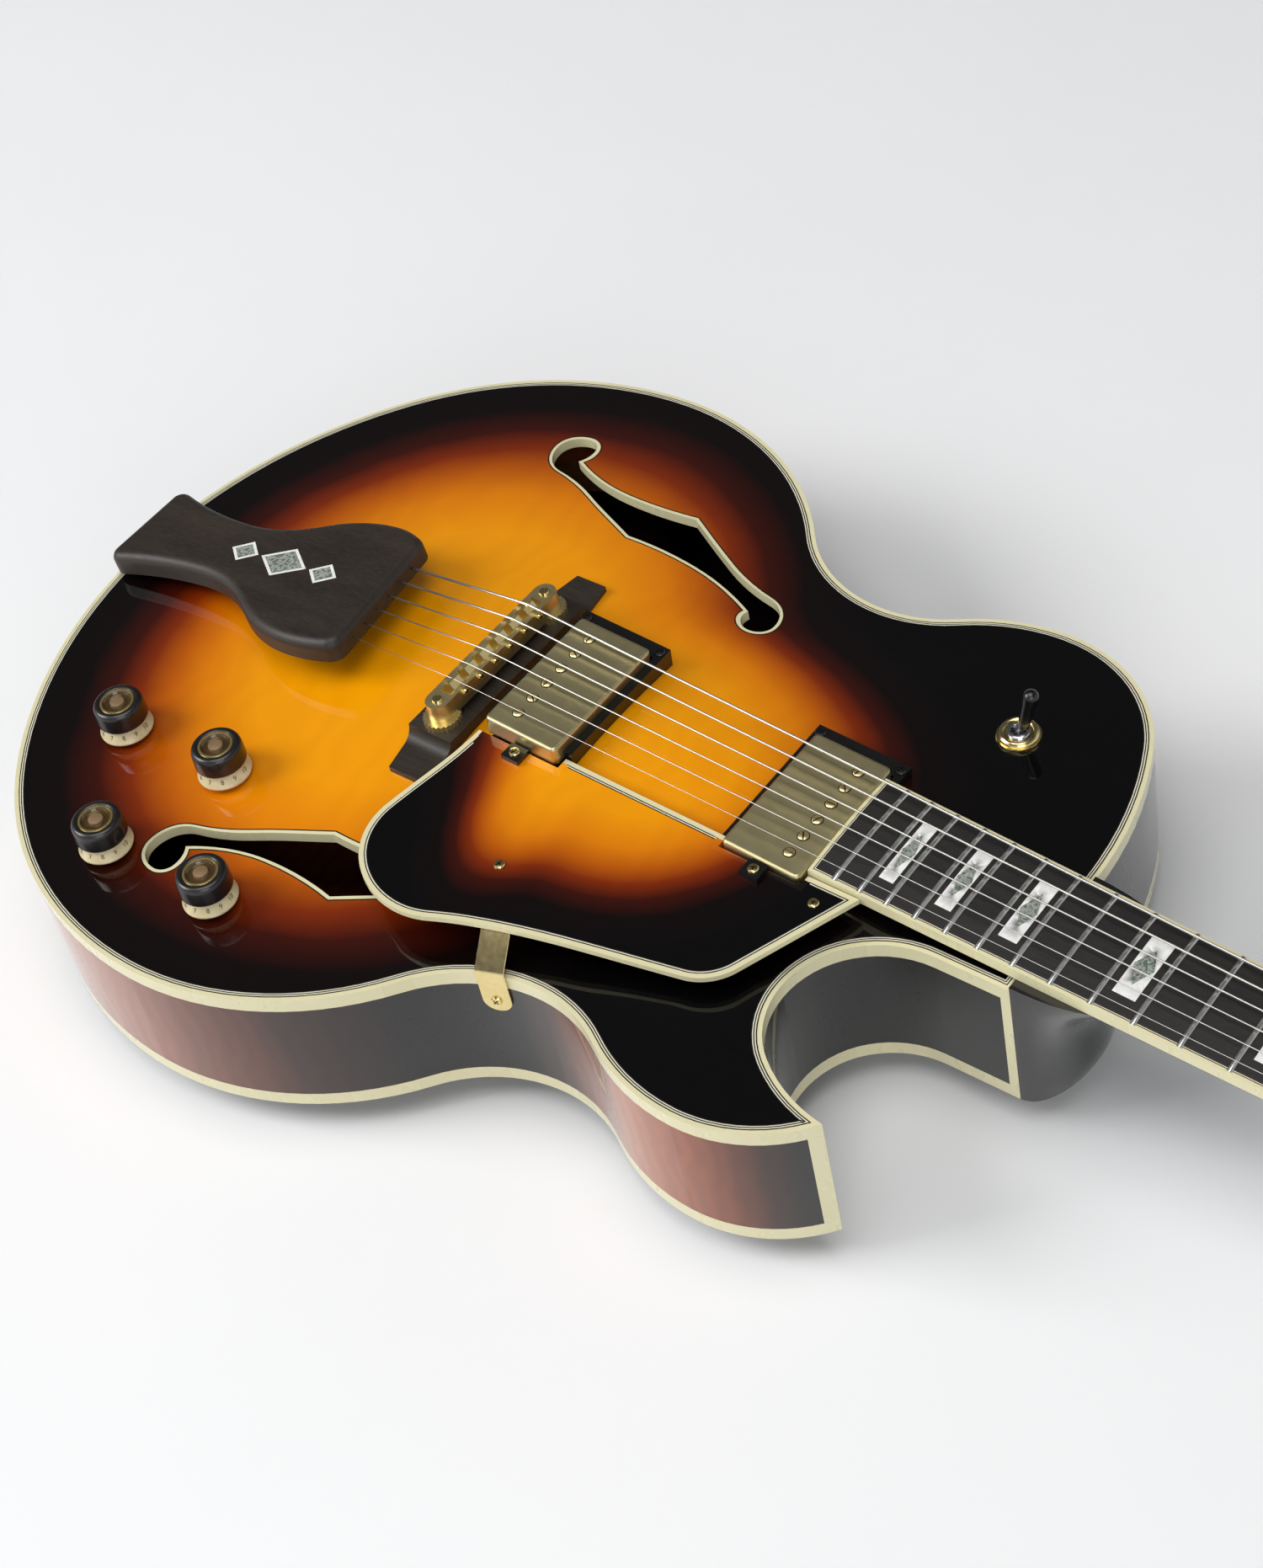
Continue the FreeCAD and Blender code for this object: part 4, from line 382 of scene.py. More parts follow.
# %% The plain recipe
def plain_material(name, dark, light, rough, relief=0.1, scale=60.0, stretch=(1.0, 1.0, 1.0),
                   metal=0.0, coat=0.0, scratch=0.06):
    material, tree, shader = fresh(name)
    surface = use(tree, SURFACE, {"Point": place_of(tree), "Stretch": stretch, "Scale": scale})
    clouds = calc(tree, "MULTIPLY_ADD", surface["Broad"], 0.6, calc(tree, "MULTIPLY", surface["Fine"], 0.4))
    even = span(tree, surface["Fine"], *rough)
    colour = mix(tree, between(tree, clouds, 0.32, 0.68), tone(*dark), tone(*light))
    set_shader(tree, shader, {"Base Color": colour,
                              "Roughness": calc(tree, "MULTIPLY_ADD", surface["Scratches"], scratch, even),
                              "Metallic": metal, "Coat Weight": coat, "Coat Roughness": 0.06})
    bump(tree, shader, surface["Fine"], relief)
    return material


print("recipe for plain surfaces:", plain_material.__name__)

# %% [markdown]
# Wood has grain along the instrument, so its clouds are drawn out that way. Lacquer, celluloid and bone
# have none, and are told apart by gloss.

# %% Woods, lacquer, celluloid and bone
ALONG_GRAIN = (1.0, 0.08, 1.0)
CREAM = ((218, 210, 168), (223, 216, 176))
black_lacquer = plain_material("black_lacquer", (9, 8, 9), (17, 15, 15), (0.25, 0.4), 0.03, 25.0, coat=1.0)
inner_wood = plain_material("inner_wood", (112, 70, 38), (158, 108, 62), (0.6, 0.8), 0.3, 80.0, ALONG_GRAIN)
cream = plain_material("cream_celluloid", *CREAM, (0.22, 0.34), 0.02, 5.0, (1, 1, 0.4), coat=0.5)
ebony = plain_material("ebony", (27, 21, 16), (52, 43, 34), (0.42, 0.56), 0.4, 90.0, ALONG_GRAIN)
board_ebony = plain_material("board_ebony", (22, 20, 20), (40, 36, 34), (0.4, 0.55), 0.35, 110.0, ALONG_GRAIN)
black_line = plain_material("black_line", (10, 9, 9), (18, 17, 17), (0.25, 0.4), 0.02, coat=0.6)
white_line = plain_material("white_line", (216, 210, 182), (230, 226, 204), (0.25, 0.35), 0.02, coat=0.6)
bone = plain_material("bone", (214, 206, 180), (232, 226, 206), (0.3, 0.45), 0.06, 90.0)
print("materials so far:", len(bpy.data.materials))

# %% [markdown]
# Plated metal takes nearly all its look from what it mirrors. Three golds are needed: polished, brushed,
# and the satin of old pickup covers.

# %% Metals
gold = plain_material("gold_plate", (226, 202, 136), (242, 224, 168), (0.14, 0.24), 0.002, 30.0, metal=1.0,
                      scratch=0.02)
old_gold = plain_material("satin_gold_plate", (198, 187, 142), (210, 198, 152), (0.36, 0.42), 0.0, 12.0,
                          metal=1.0, scratch=0.0)
soft_gold = plain_material("brushed_gold_plate", (230, 208, 144), (244, 226, 170), (0.32, 0.4), 0.0, 30.0,
                           metal=1.0, scratch=0.02)
steel = plain_material("plain_steel", (186, 186, 188), (214, 214, 214), (0.16, 0.26), 0.002, 60.0, metal=1.0)
nickel = plain_material("nickel_silver", (212, 212, 208), (234, 234, 230), (0.26, 0.34), 0.0, 60.0, metal=1.0)
dull_metal = plain_material("dull_metal", (110, 110, 112), (146, 146, 146), (0.35, 0.5), 0.1, 60.0, metal=1.0)
print("materials so far:", len(bpy.data.materials))

# %% [markdown]
# The moulded pieces are black plastic. A knob alone has five finishes and the ink of its figures, and the
# leads inside the body have a dull sleeve. Each gets a material of its own, so that one can change
# without the others.

# %% Plastics and knob finishes
black_plastic = plain_material("black_plastic", (8, 8, 9), (15, 14, 14), (0.26, 0.36), 0.02, 70.0, coat=0.3)
knob_black = plain_material("knob_black", (11, 9, 9), (22, 18, 16), (0.32, 0.44), 0.02, 90.0, coat=0.4)
knob_skirt = plain_material("knob_skirt", (196, 178, 132), (226, 212, 170), (0.25, 0.38), 0.05, 120.0,
                            coat=0.5)
knob_amber = plain_material("knob_amber", (58, 42, 18), (88, 66, 30), (0.2, 0.3), 0.02, 150.0,
                            metal=0.2, coat=1.0)
knob_ring = plain_material("knob_ring", (206, 180, 108), (226, 202, 136), (0.22, 0.3), 0.0, 60.0, metal=0.9)
knob_boss = plain_material("knob_boss", (146, 118, 86), (166, 138, 104), (0.42, 0.5), 0.02, 200.0, metal=0.6)
ink = plain_material("dial_ink", (46, 38, 26), (66, 56, 40), (0.4, 0.6), 0.02, 200.0)
lead_sleeve = plain_material("lead_sleeve", (20, 20, 22), (38, 37, 38), (0.5, 0.7), 0.2, 200.0)
print("materials so far:", len(bpy.data.materials))


# %% [markdown]
# ## Shell
#
# Pearl is pale with soft grey and cream clouds; abalone is darker, with green and silver flakes. Both are
# thin slices of shell, so their relief is faint and their polish high. A colour ramp over the shell
# clouds makes both.

# %% Pearl and abalone
def shell_material(name, stops, scale, flake):
    material, tree, shader = fresh(name)
    shell = use(tree, SHELL, {"Point": place_of(tree), "Scale": scale})
    depth = calc(tree, "MULTIPLY_ADD", shell["Flake"], flake, calc(tree, "MULTIPLY", shell["Cloud"], 0.9))
    set_shader(tree, shader, {"Base Color": ramp(tree, depth, stops),
                              "Roughness": span(tree, shell["Cloud"], 0.15, 0.32),
                              "Coat Weight": 0.5, "Coat Roughness": 0.12})
    bump(tree, shader, shell["Cloud"], 0.02)
    return material


pearl = shell_material("pearl", [(0.25, (222, 223, 220)), (0.45, (244, 243, 238)), (0.6, (230, 229, 227)),
                                 (0.8, (248, 246, 240))], 150.0, 0.2)
abalone = shell_material("abalone", [(0.2, (46, 60, 56)), (0.4, (116, 126, 118)), (0.55, (74, 92, 80)),
                                     (0.7, (168, 172, 164)), (0.9, (98, 104, 98))], 380.0, 0.5)
print("shell materials:", pearl.name, abalone.name)

# %% [markdown]
# ## The guard's edge
#
# The guard is bound in cream all round, apart from the two notches where it makes room for the pickups.
# There its bare edge has the sprayed colour of the panel. The material finds the notches by their place.

# %% The guard's edge
NOTCHES = [(0.0207, 0.0645), (0.1428, 0.1885)]
NOTCH_SIDE = (0.0318, 0.0382)


def inside(tree, value, low, high):
    above, below = calc(tree, "GREATER_THAN", value, low), calc(tree, "LESS_THAN", value, high)
    return calc(tree, "MULTIPLY", above, below)


guard_edge, tree, shader = fresh("guard_edge")
point = place_of(tree)
place = add(tree, "ShaderNodeSeparateXYZ", {"Vector": point})
along = [inside(tree, place.outputs["Y"], low, high) for low, high in NOTCHES]
notch = calc(tree, "MULTIPLY", inside(tree, place.outputs["X"], *NOTCH_SIDE), calc(tree, "ADD", *along))
surface = use(tree, SURFACE, {"Point": point, "Stretch": (1.0, 1.0, 0.4), "Scale": 5.0})
bound = mix(tree, surface["Broad"], tone(*CREAM[0]), tone(*CREAM[1]))
spray = calc(tree, "MULTIPLY", oval_field(tree, point, GUARD_OVALS, 0.2), BURST_REACH)
set_shader(tree, shader, {"Base Color": mix(tree, notch, bound, ramp(tree, spray, BURST)),
                          "Roughness": span(tree, surface["Fine"], 0.22, 0.34),
                          "Coat Weight": 0.5, "Coat Roughness": 0.06})
bump(tree, shader, surface["Fine"], 0.02)
print("notches in the guard:", len(NOTCHES))

# %% [markdown]
# ## Dressing the solids that keep their shape
#
# Most construction solids already have the right form, so they only need their material. Drawing them
# again would add nothing. Each one's plain material is taken off and its finish put on.

# %% Dressing
SIX = range(1, 7)
DRESS = {
    burst_top: ["top_plate"],
    burst_guard: ["pickguard"],
    side_lacquer: ["rim_bass", "rim_treble"],
    back_lacquer: ["back_plate"],
    black_lacquer: ["neck", "headstock_veneer"],
    inner_wood: ["linings", "end_blocks", "tone_bars"],
    cream: ["top_binding", "back_binding", "f_hole_bindings", "fingerboard_binding"],
    guard_edge: ["pickguard_binding"],
    board_ebony: ["fingerboard"],
    ebony: ["tailpiece", "bridge_base"],
    soft_gold: ["bridge_bar", "saddles", "thumbwheel_bass", "thumbwheel_treble"],
    gold: ["pickguard_bracket", "tuner_housings", "tailpiece_hanger", "bridge_posts", "output_jack",
           "strap_button", "switch_body"] + ["tuner_post_%d" % number for number in SIX]
          + ["tuner_button_%d" % number for number in SIX],
    old_gold: ["pickup_covers"],
    nickel: ["frets"],
    steel: ["truss_rod"],
    dull_metal: ["pots"],
    black_plastic: ["pickup_frames", "pickup_coils", "truss_rod_cover"],
    bone: ["nut"],
    lead_sleeve: ["wiring"],
}
for material, names in DRESS.items():
    for name in names:
        NODES[name].data.materials.clear()
        NODES[name].data.materials.append(material)
print("dressed:", sum(len(names) for names in DRESS.values()), "solids")


# %% [markdown]
# ## Building new pieces
#
# A new piece is gathered as points and faces, each face with its own finish, and becomes one mesh that
# rides on the body it belongs to. It could be modelled by hand; gathered in code, it follows the
# construction.

# %% Gathering a piece
def link(name, data):
    """A new object in the scene."""
    thing = bpy.data.objects.new(name, data)
    bpy.context.scene.collection.objects.link(thing)
    return thing


class Gather:
    """Collects points and faces of one piece."""

    def __init__(self):
        self.points = []
        self.faces = []
        self.finish = []

    def put(self, shape, finish=0, place=Matrix.Identity(4)):
        points, faces = shape
        start = len(self.points)
        self.points += [place @ Vector(point) for point in points]
        self.faces += [[start + index for index in face] for face in faces]
        self.finish += [finish] * len(faces)
        return self

    def piece(self, name, body, materials, replaces=(), slot=None, angle=35):
        mesh = bpy.data.meshes.new(name)
        mesh.from_pydata([tuple(point) for point in self.points], [], self.faces)
        for material in materials:
            mesh.materials.append(material)
        mesh.polygons.foreach_set("material_index", self.finish)
        mesh.shade_smooth()
        mesh.set_sharp_from_angle(angle=math.radians(angle))
        piece = link(name, mesh)
        if body:
            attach(piece, body)
        if replaces:
            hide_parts(*replaces)
        return piece


print("a piece is gathered by:", Gather.__name__)


# %% [markdown]
# Nearly every shape is a skin over rows of points: a strip, a wire, a casting. Turned pieces come from a
# profile spun round an axis, as on a lathe.

# %% Skins and turned shapes
def skin(rows, closed=True, caps=True):
    """Faces between equal rows of points; closed rows join their ends, and caps shut the outer rows."""
    count = len(rows[0])
    points = [point for row in rows for point in row]
    faces = []
    for low in range(0, len(points) - count, count):
        for side in range(count if closed else count - 1):
            after = (side + 1) % count
            faces.append((low + side, low + after, low + count + after, low + count + side))
    if caps:
        faces += [tuple(reversed(range(count))), tuple(range(len(points) - count, len(points)))]
    return points, faces


def lathe(profile, segments=64, teeth=None):
    """A profile of (radius, height) in millimetres spun about Z; teeth are {index: depth} on a ring."""
    points = []
    rings = []
    for index, (radius, height) in enumerate(profile):
        ring = []
        for step in range(1 if radius == 0 else segments):
            turn = 2 * math.pi * step / segments
            reach = radius - (teeth or {}).get(index, 0) * (step % 2)
            ring.append(len(points))
            points.append(Vector((reach * math.cos(turn), reach * math.sin(turn), height)) * MM)
        rings.append(ring)
    faces = []
    for low, high in zip(rings, rings[1:]):
        for step in range(segments):
            corners = [low[step % len(low)], low[(step + 1) % len(low)], high[(step + 1) % len(high)],
                       high[step % len(high)]]
            unique = list(dict.fromkeys(corners))
            if len(unique) > 2:
                faces.append(unique)
    return points, faces


print("faces of a turned disc:", len(lathe([(0, 0), (1, 0)])[1]))


# %% [markdown]
# Slots and notches are cut. A boolean modifier does that as a file or a saw would, and the cut shape is
# read back as points and faces.

# %% Blocks and cuts
def box(size, centre=(0, 0, 0)):
    """A block by its three sizes, in millimetres."""
    points = []
    for corner in range(8):
        halves = [0.5 if corner >> axis & 1 else -0.5 for axis in range(3)]
        points.append(Vector([centre[axis] + size[axis] * halves[axis] for axis in range(3)]) * MM)
    return points, [(0, 2, 3, 1), (4, 5, 7, 6), (0, 1, 5, 4), (2, 6, 7, 3), (0, 4, 6, 2), (1, 3, 7, 5)]


def read_shape(thing):
    """The points and faces of an object drawn in millimetres, after its modifiers."""
    mesh = thing.evaluated_get(bpy.context.evaluated_depsgraph_get()).to_mesh()
    return [vertex.co * MM for vertex in mesh.vertices], [list(polygon.vertices) for polygon in mesh.polygons]


def carved(shape, cutters):
    """A shape with other shapes cut out of it."""
    blanks = []
    for points, faces in [shape] + cutters:
        mesh = bpy.data.meshes.new("blank")
        mesh.from_pydata([tuple(point / MM) for point in points], [], faces)
        blanks.append(link("blank", mesh))
    for cutter in blanks[1:]:
        cut = blanks[0].modifiers.new("cut", "BOOLEAN")
        cut.operation = "DIFFERENCE"
        cut.object = cutter
    made = read_shape(blanks[0])
    for blank in blanks:
        bpy.data.meshes.remove(blank.data)
    return made


print("faces of a block with a slot:", len(carved(box((4, 4, 4)), [box((5, 1, 1), (0, 0, 2))])[1]))


# %% [markdown]
# ## Tracing edges
#
# Inlaid lines follow an edge of the wood. The tracer walks round a solid and keeps each closed row of
# points where a face that looks up meets a wall. Drawing the rows by hand would take long and would miss
# every later change.

# %% Finding edges
WELD = 2e-6


def welded(node):
    shape = bmesh.new()
    shape.from_mesh(NODES[node].data)
    bmesh.ops.remove_doubles(shape, verts=shape.verts, dist=WELD)
    shape.normal_update()
    return shape


def row_length(row):
    return sum((after - before).length for before, after in zip(row, row[1:] + row[:1]))


def crease_loops(node, facing=UP, level=0.7, steep=0.45):
    """Closed rows of points where a face along facing meets a wall, with that face on the left of the way."""
    shape = welded(node)
    after = {}
    for edge in shape.edges:
        if len(edge.link_faces) != 2:
            continue
        upper, lower = sorted(edge.link_faces, key=lambda face: -face.normal.dot(facing))
        if upper.normal.dot(facing) > level and lower.normal.dot(facing) < steep:
            for corner in upper.loops:
                if corner.edge == edge:
                    after[corner.vert] = corner.link_loop_next.vert
    loops = []
    while after:
        start, following = after.popitem()
        row = [start]
        while following is not start and following in after:
            row.append(following)
            following = after.pop(following)
        if following is start and len(row) > 2:
            loops.append([vertex.co.copy() for vertex in row])
    shape.free()
    return sorted(loops, key=lambda row: -row_length(row))


top_loops = crease_loops("top_plate")
print("edges on the top plate:", [round(row_length(row), 3) for row in top_loops])


# %% [markdown]
# A ribbon is laid beside such a row, a little inside it, and every point of it is dropped onto the
# surface below, so that the line lies on the arched wood. Real grooves would need many more faces for
# lines half a millimetre wide.

# %% Laying ribbons
STATION = 0.003
SEAT_FROM, SEAT_DEPTH = 0.004, 0.02
LINE_LIFT, LINE_MITRE = 0.00008, 0.4


def refined(row, step=STATION):
    """The row with long stretches divided."""
    finer = []
    for before, after in zip(row, row[1:] + row[:1]):
        count = max(1, math.ceil((after - before).length / step))
        finer += [before.lerp(after, index / count) for index in range(count)]
    return finer


def surface_tree(node):
    return BVHTree.FromObject(NODES[node], bpy.context.evaluated_depsgraph_get())


def seat(tree, point, facing, lift):
    hit = tree.ray_cast(point + facing * SEAT_FROM, -facing, SEAT_DEPTH)[0]
    return (hit if hit is not None else point) + facing * lift


def ribbon(row, near, far, tree, facing=UP, lift=LINE_LIFT):
    """A strip between two distances from a row of points, in millimetres, laid on a surface."""
    row = [point for point, after in zip(row, row[1:] + row[:1]) if (after - point).length > WELD / 2]
    edges = ([], [])
    for index, point in enumerate(row):
        ahead = (row[(index + 1) % len(row)] - point).normalized()
        behind = (point - row[index - 1]).normalized()
        sides = [facing.cross(way).normalized() for way in (behind, ahead)]
        across = (sides[0] + sides[1]) / max(LINE_MITRE, 1 + sides[0].dot(sides[1]))
        for edge, reach in zip(edges, (near, far)):
            edge.append(seat(tree, point + across * reach * MM, facing, lift))
    return skin(edges, caps=False)


def lay(gather, row, bands, tree, facing=UP):
    """Ribbons beside a row, each given as near, far and finish."""
    for near, far, finish in bands:
        gather.put(ribbon(row, near, far, tree, facing), finish)


print("a station at least every", STATION / MM, "mm")

# %% [markdown]
# ## Purfling on the top
#
# Just inside the cream binding run hair-thin lines, black and white by turns. They are inlaid strips, so
# they follow the outline at constant distances. A single black line frames each f-hole's binding.

# %% Purfling
PURFLING = [(0.0, 0.5, 0), (0.5, 1.0, 1), (1.0, 1.5, 0), (1.5, 1.95, 1), (1.95, 2.45, 0)]
HOLE_LINE = [(-0.05, 0.55, 0)]
on_top = surface_tree("top_plate")
purfling = Gather()
lay(purfling, refined(top_loops[0]), PURFLING, on_top)
for hole in top_loops[1:3]:
    lay(purfling, refined(hole), HOLE_LINE, on_top)
purfling.piece("top_purfling", "guitar", [black_line, white_line], slot="cream_binding")
print("purfling faces:", len(purfling.faces))

# %% [markdown]
# ## Lines on the pickguard and fingerboard
#
# The floating guard is a thin sunburst panel with a cream edge, and inside that edge lie three lines,
# black, white and black. They stop at the notches for the pickups, where the edge is bare, so those faces
# are left out.

# %% Lines on the guard
BARE_SIDE, BARE_MARGIN = (0.0335, 0.0402), 0.002


def is_bare(point):
    beside = [low - BARE_MARGIN < point.y < high + BARE_MARGIN for low, high in NOTCHES]
    return BARE_SIDE[0] < point.x < BARE_SIDE[1] and any(beside)


guard_lines = Gather()
on_guard = surface_tree("pickguard")
guard_row = refined(crease_loops("pickguard", GUARD_UP)[0])
for near, far, finish in PURFLING[:3]:
    points, faces = ribbon(guard_row, near, far, on_guard, GUARD_UP)
    bare = [is_bare(point) for point in points]
    guard_lines.put((points, [face for face in faces if not any(bare[index] for index in face)]), finish)
guard_lines.piece("pickguard_lines", "guitar", [black_line, white_line], slot="cream_binding")
print("guard edge:", round(row_length(guard_row), 3))

# %% [markdown]
# The fingerboard has one black and one white line between the ebony and its cream binding, also round its
# end. They are ribbons again, laid on the board's gentle curve.

# %% Lines on the fingerboard
board_lines = Gather()
board_edge = refined(crease_loops("fingerboard", NECK_UP)[0])
lay(board_lines, board_edge, [(0.0, 0.35, 0), (0.35, 0.7, 1)], surface_tree("fingerboard"), NECK_UP)
board_lines.piece("fingerboard_lines", "guitar", [black_line, white_line], slot="cream_binding")
print("board edge:", round(row_length(board_edge), 3))


# %% [markdown]
# ## Islands
#
# Some construction solids hold several loose pieces, such as twelve pole screws. Each piece is found by
# walking from face to face, so that a finer one can be set in the same place.

# %% Loose pieces
def islands(node):
    """The loose pieces of a node, each as its own points and faces."""
    shape = welded(node)
    seen = set()
    found = []
    for first in shape.faces:
        if first in seen:
            continue
        group = [first]
        seen.add(first)
        for face in group:
            for edge in face.edges:
                for other in edge.link_faces:
                    if other not in seen:
                        seen.add(other)
                        group.append(other)
        numbers = {}
        for face in group:
            for vertex in face.verts:
                numbers.setdefault(vertex, len(numbers))
        found.append(([vertex.co.copy() for vertex in numbers],
                      [[numbers[vertex] for vertex in face.verts] for face in group]))
    shape.free()
    return found


print("pole screws:", len(islands("pole_screws")))


# %% [markdown]
# A finer piece needs a place: the middle of the plain one, or the point over it at its crown, and the way
# up. All of it is measured from the plain piece, so nothing has to be typed twice.

# %% Places for finer pieces
def extent(points, axis):
    """The lowest and highest value of some points along one axis."""
    values = [point[axis] for point in points]
    return min(values), max(values)


def middle(points):
    return Vector([sum(extent(points, axis)) / 2 for axis in range(3)])


def crown_of(points, out):
    """The point over the middle of some points, at their highest level along out."""
    centre = middle(points)
    return centre + out * (max(point.dot(out) for point in points) - centre.dot(out))


def standing(point, up, turn=0.0):
    """A place at a point with its Z along up, turned about it by some degrees."""
    upright = up.to_track_quat("Z", "Y").to_matrix().to_4x4()
    return Matrix.Translation(point) @ upright @ Matrix.Rotation(math.radians(turn), 4, "Z")


print("way up of the neck:", [round(value, 3) for value in NECK_UP])

# %% [markdown]
# ## Frets
#
# Fret wire has a rounded crown. Along each fret some stations are set on the top of the construction's
# plain bar, and a half round is drawn through each station. The last stations are lower, which gives the
# filed ends.

# %% Fret wire
ALONG_NECK = NECK.to_3x3() @ Vector((0.0, 1.0, 0.0))
FRET_HALF, FRET_CROWN, FRET_END, FRET_MARGIN = 1.2, 1.1, 0.6, 0.1 * MM


def fret_wire(points, tree, stations=16, around=10):
    centre = middle(points)
    low, high = extent(points, 0)
    turns = [math.pi * index / around for index in range(around + 1)]
    rows = []
    for step in range(stations + 1):
        reach = low + (high - low) * step / stations
        probe = min(max(reach, low + FRET_MARGIN), high - FRET_MARGIN)
        top = seat(tree, Vector((probe, centre.y, centre.z)), NECK_UP, 0.0)
        foot = Vector((reach, top.y, top.z)) - NECK_UP * FRET_CROWN * MM
        across = ALONG_NECK * FRET_HALF * MM
        rise = NECK_UP * (FRET_END if step in (0, stations) else FRET_CROWN) * MM
        rows.append([foot + across * math.cos(turn) + rise * math.sin(turn) for turn in turns])
    return skin(rows, closed=False)


on_frets = surface_tree("frets")
bars = islands("frets")
wires = Gather()
for points, faces in bars:
    wires.put(fret_wire(points, on_frets))
wires.piece("fret_wires", "guitar", [nickel], ["frets"], "bright_steel", 50)
print("frets:", len(bars))


# %% [markdown]
# ## Screws
#
# Pole screws have flat domed heads with one slot; the small fixing screws have a cross. A head is turned
# from a profile and its slots are cut out. A picture of a slot would do from afar, but a cut one catches
# the light.

# %% Screw heads
def screw_head(radius, height, cross):
    dome = [(0, 0), (radius, 0), (radius, height * 0.45), (radius * 0.86, height * 0.8),
            (radius * 0.5, height * 0.96), (0, height)]
    slot = radius * 0.3
    reach = radius * (1.25 if cross else 2.4)
    cutters = [box((reach, slot, height), (0, 0, height))]
    if cross:
        cutters.append(box((slot, reach, height * 1.1), (0, 0, height)))
    return carved(lathe(dome, 40), cutters)


pole_head = screw_head(2.3, 0.75, False)
small_head = screw_head(2.4, 1.2, True)
print("faces of a pole's head:", len(pole_head[1]), "of a small head:", len(small_head[1]))

# %% [markdown]
# Screws stop at any angle, so each is turned a little differently. Round a pole's head a flat black ring is
# painted shade for the gap to the cover, and a thin black strip is painted shade at the bottom of its slot.

# %% Pole screws
POLE_TURN, POLE_SINK = 57, 0.6
# Painted shade: a black ring round each head on the cover, and a black strip at the bottom of each slot.
pole_gap_shade = lathe([(2.2, 0.06), (2.75, 0.06)], 40)
pole_slot_shade = box((4.2, 0.6, 0.05), (0, 0, 0.4))
pole_shank = lathe([(0, -15.2), (1.35, -15.2), (1.35, -0.2), (0, -0.2)], 20)
poles = Gather()
for number, (points, faces) in enumerate(islands("pole_screws")):
    head_base = crown_of(points, NECK_UP) - NECK_UP * POLE_SINK * MM
    turned = standing(head_base, NECK_UP, POLE_TURN * number)
    poles.put(pole_head, 0, turned)
    poles.put(pole_gap_shade, 1, standing(head_base, NECK_UP))
    poles.put(pole_slot_shade, 1, turned)
    poles.put(pole_shank, 0, standing(head_base, NECK_UP))
poles.piece("pole_screw_heads", "guitar", [soft_gold, black_line], ["pole_screws"], "gold_metal")
print("pole screw faces:", len(poles.faces))

# %% [markdown]
# Small screws hold the pickups and their frames, the rod's cover on the headstock, the guard and its
# bracket. Where a screw sits tells which way it looks, and whether it is black or gold.

# %% Fixing screws
FIXING_TURN, FIXING_SINK = 41, 1.2
HEADSTOCK_FROM, SIDES_BELOW = 0.6, 0.08
BRACKET_OUT = Vector((0.9463, 0.3234, 0.0))
# Painted shade: a thin black strip at the bottom of each cross slot stands for the shade in the slot.
slot_shades = [box((2.9, 0.66, 0.04), (0, 0, 0.62)), box((0.66, 2.9, 0.04), (0, 0, 0.57))]


def way_out(centre):
    if centre.y > HEADSTOCK_FROM:
        return HEAD_UP
    if centre.z < SIDES_BELOW:
        return BRACKET_OUT
    return NECK_UP if centre.x < 0 else GUARD_UP


fixings = Gather()
for number, (points, faces) in enumerate(islands("screws")):
    out = way_out(middle(points))
    turned = standing(crown_of(points, out) - out * FIXING_SINK * MM, out, FIXING_TURN * number)
    fixings.put(small_head, 1 if out in (NECK_UP, HEAD_UP) else 0, turned)
    for slot_shade in slot_shades:
        fixings.put(slot_shade, 1, turned)
fixings.piece("fixing_screws", "guitar", [gold, black_plastic], ["screws"], "gold_metal")
print("fixing screw faces:", len(fixings.faces))


# %% [markdown]
# ## The guard's bracket
#
# A polished strip comes out from under the guard, slopes down to the body's edge and is screwed to the
# side. Sheet metal bends in small arcs and never in sharp corners, so the strip is drawn again: a row of
# stations follows the bends, and each station carries the same cross-section with broken edges.

# %% The bracket's bends
def bent(corners, radius, steps=6):
    """A row of points through corners, with arcs at those between the ends."""
    row = [corners[0]]
    for before, corner, after in zip(corners, corners[1:], corners[2:]):
        ways = [(before - corner).normalized(), (after - corner).normalized()]
        half = ways[0].angle(ways[1]) / 2
        centre = corner + (ways[0] + ways[1]).normalized() * (radius / math.sin(half))
        arms = [corner + way * (radius / math.tan(half)) - centre for way in ways]
        arc_ways = [arms[0].lerp(arms[1], step / steps).normalized() for step in range(steps + 1)]
        row += [centre + way * radius for way in arc_ways]
    return row + [corners[-1]]


BEND_RADIUS, BEND_START = 2.2, 0.6
BRACKET_ACROSS, BRACKET_ALONG = 114.5 * MM, 91 * MM
towards_side = BRACKET_OUT.to_track_quat("X", "Z").to_matrix().to_4x4()
BRACKET = Matrix.Translation((BRACKET_ACROSS, BRACKET_ALONG, 0)) @ towards_side
seen = [BRACKET.inverted() @ vertex.co / MM for vertex in NODES["pickguard_bracket"].data.vertices]
inner, reach = extent(seen, 0)
foot, top = extent(seen, 2)
shoulder = max(point.z for point in seen if point.x > reach - 0.1)
strip_row = bent([Vector((inner, 0, top)), Vector((BEND_START, 0, top)), Vector((reach, 0, shoulder)),
                  Vector((reach, 0, foot))], BEND_RADIUS)
print("bracket stations:", len(strip_row), "reach", round(reach, 1), "drop", round(top - foot, 1))


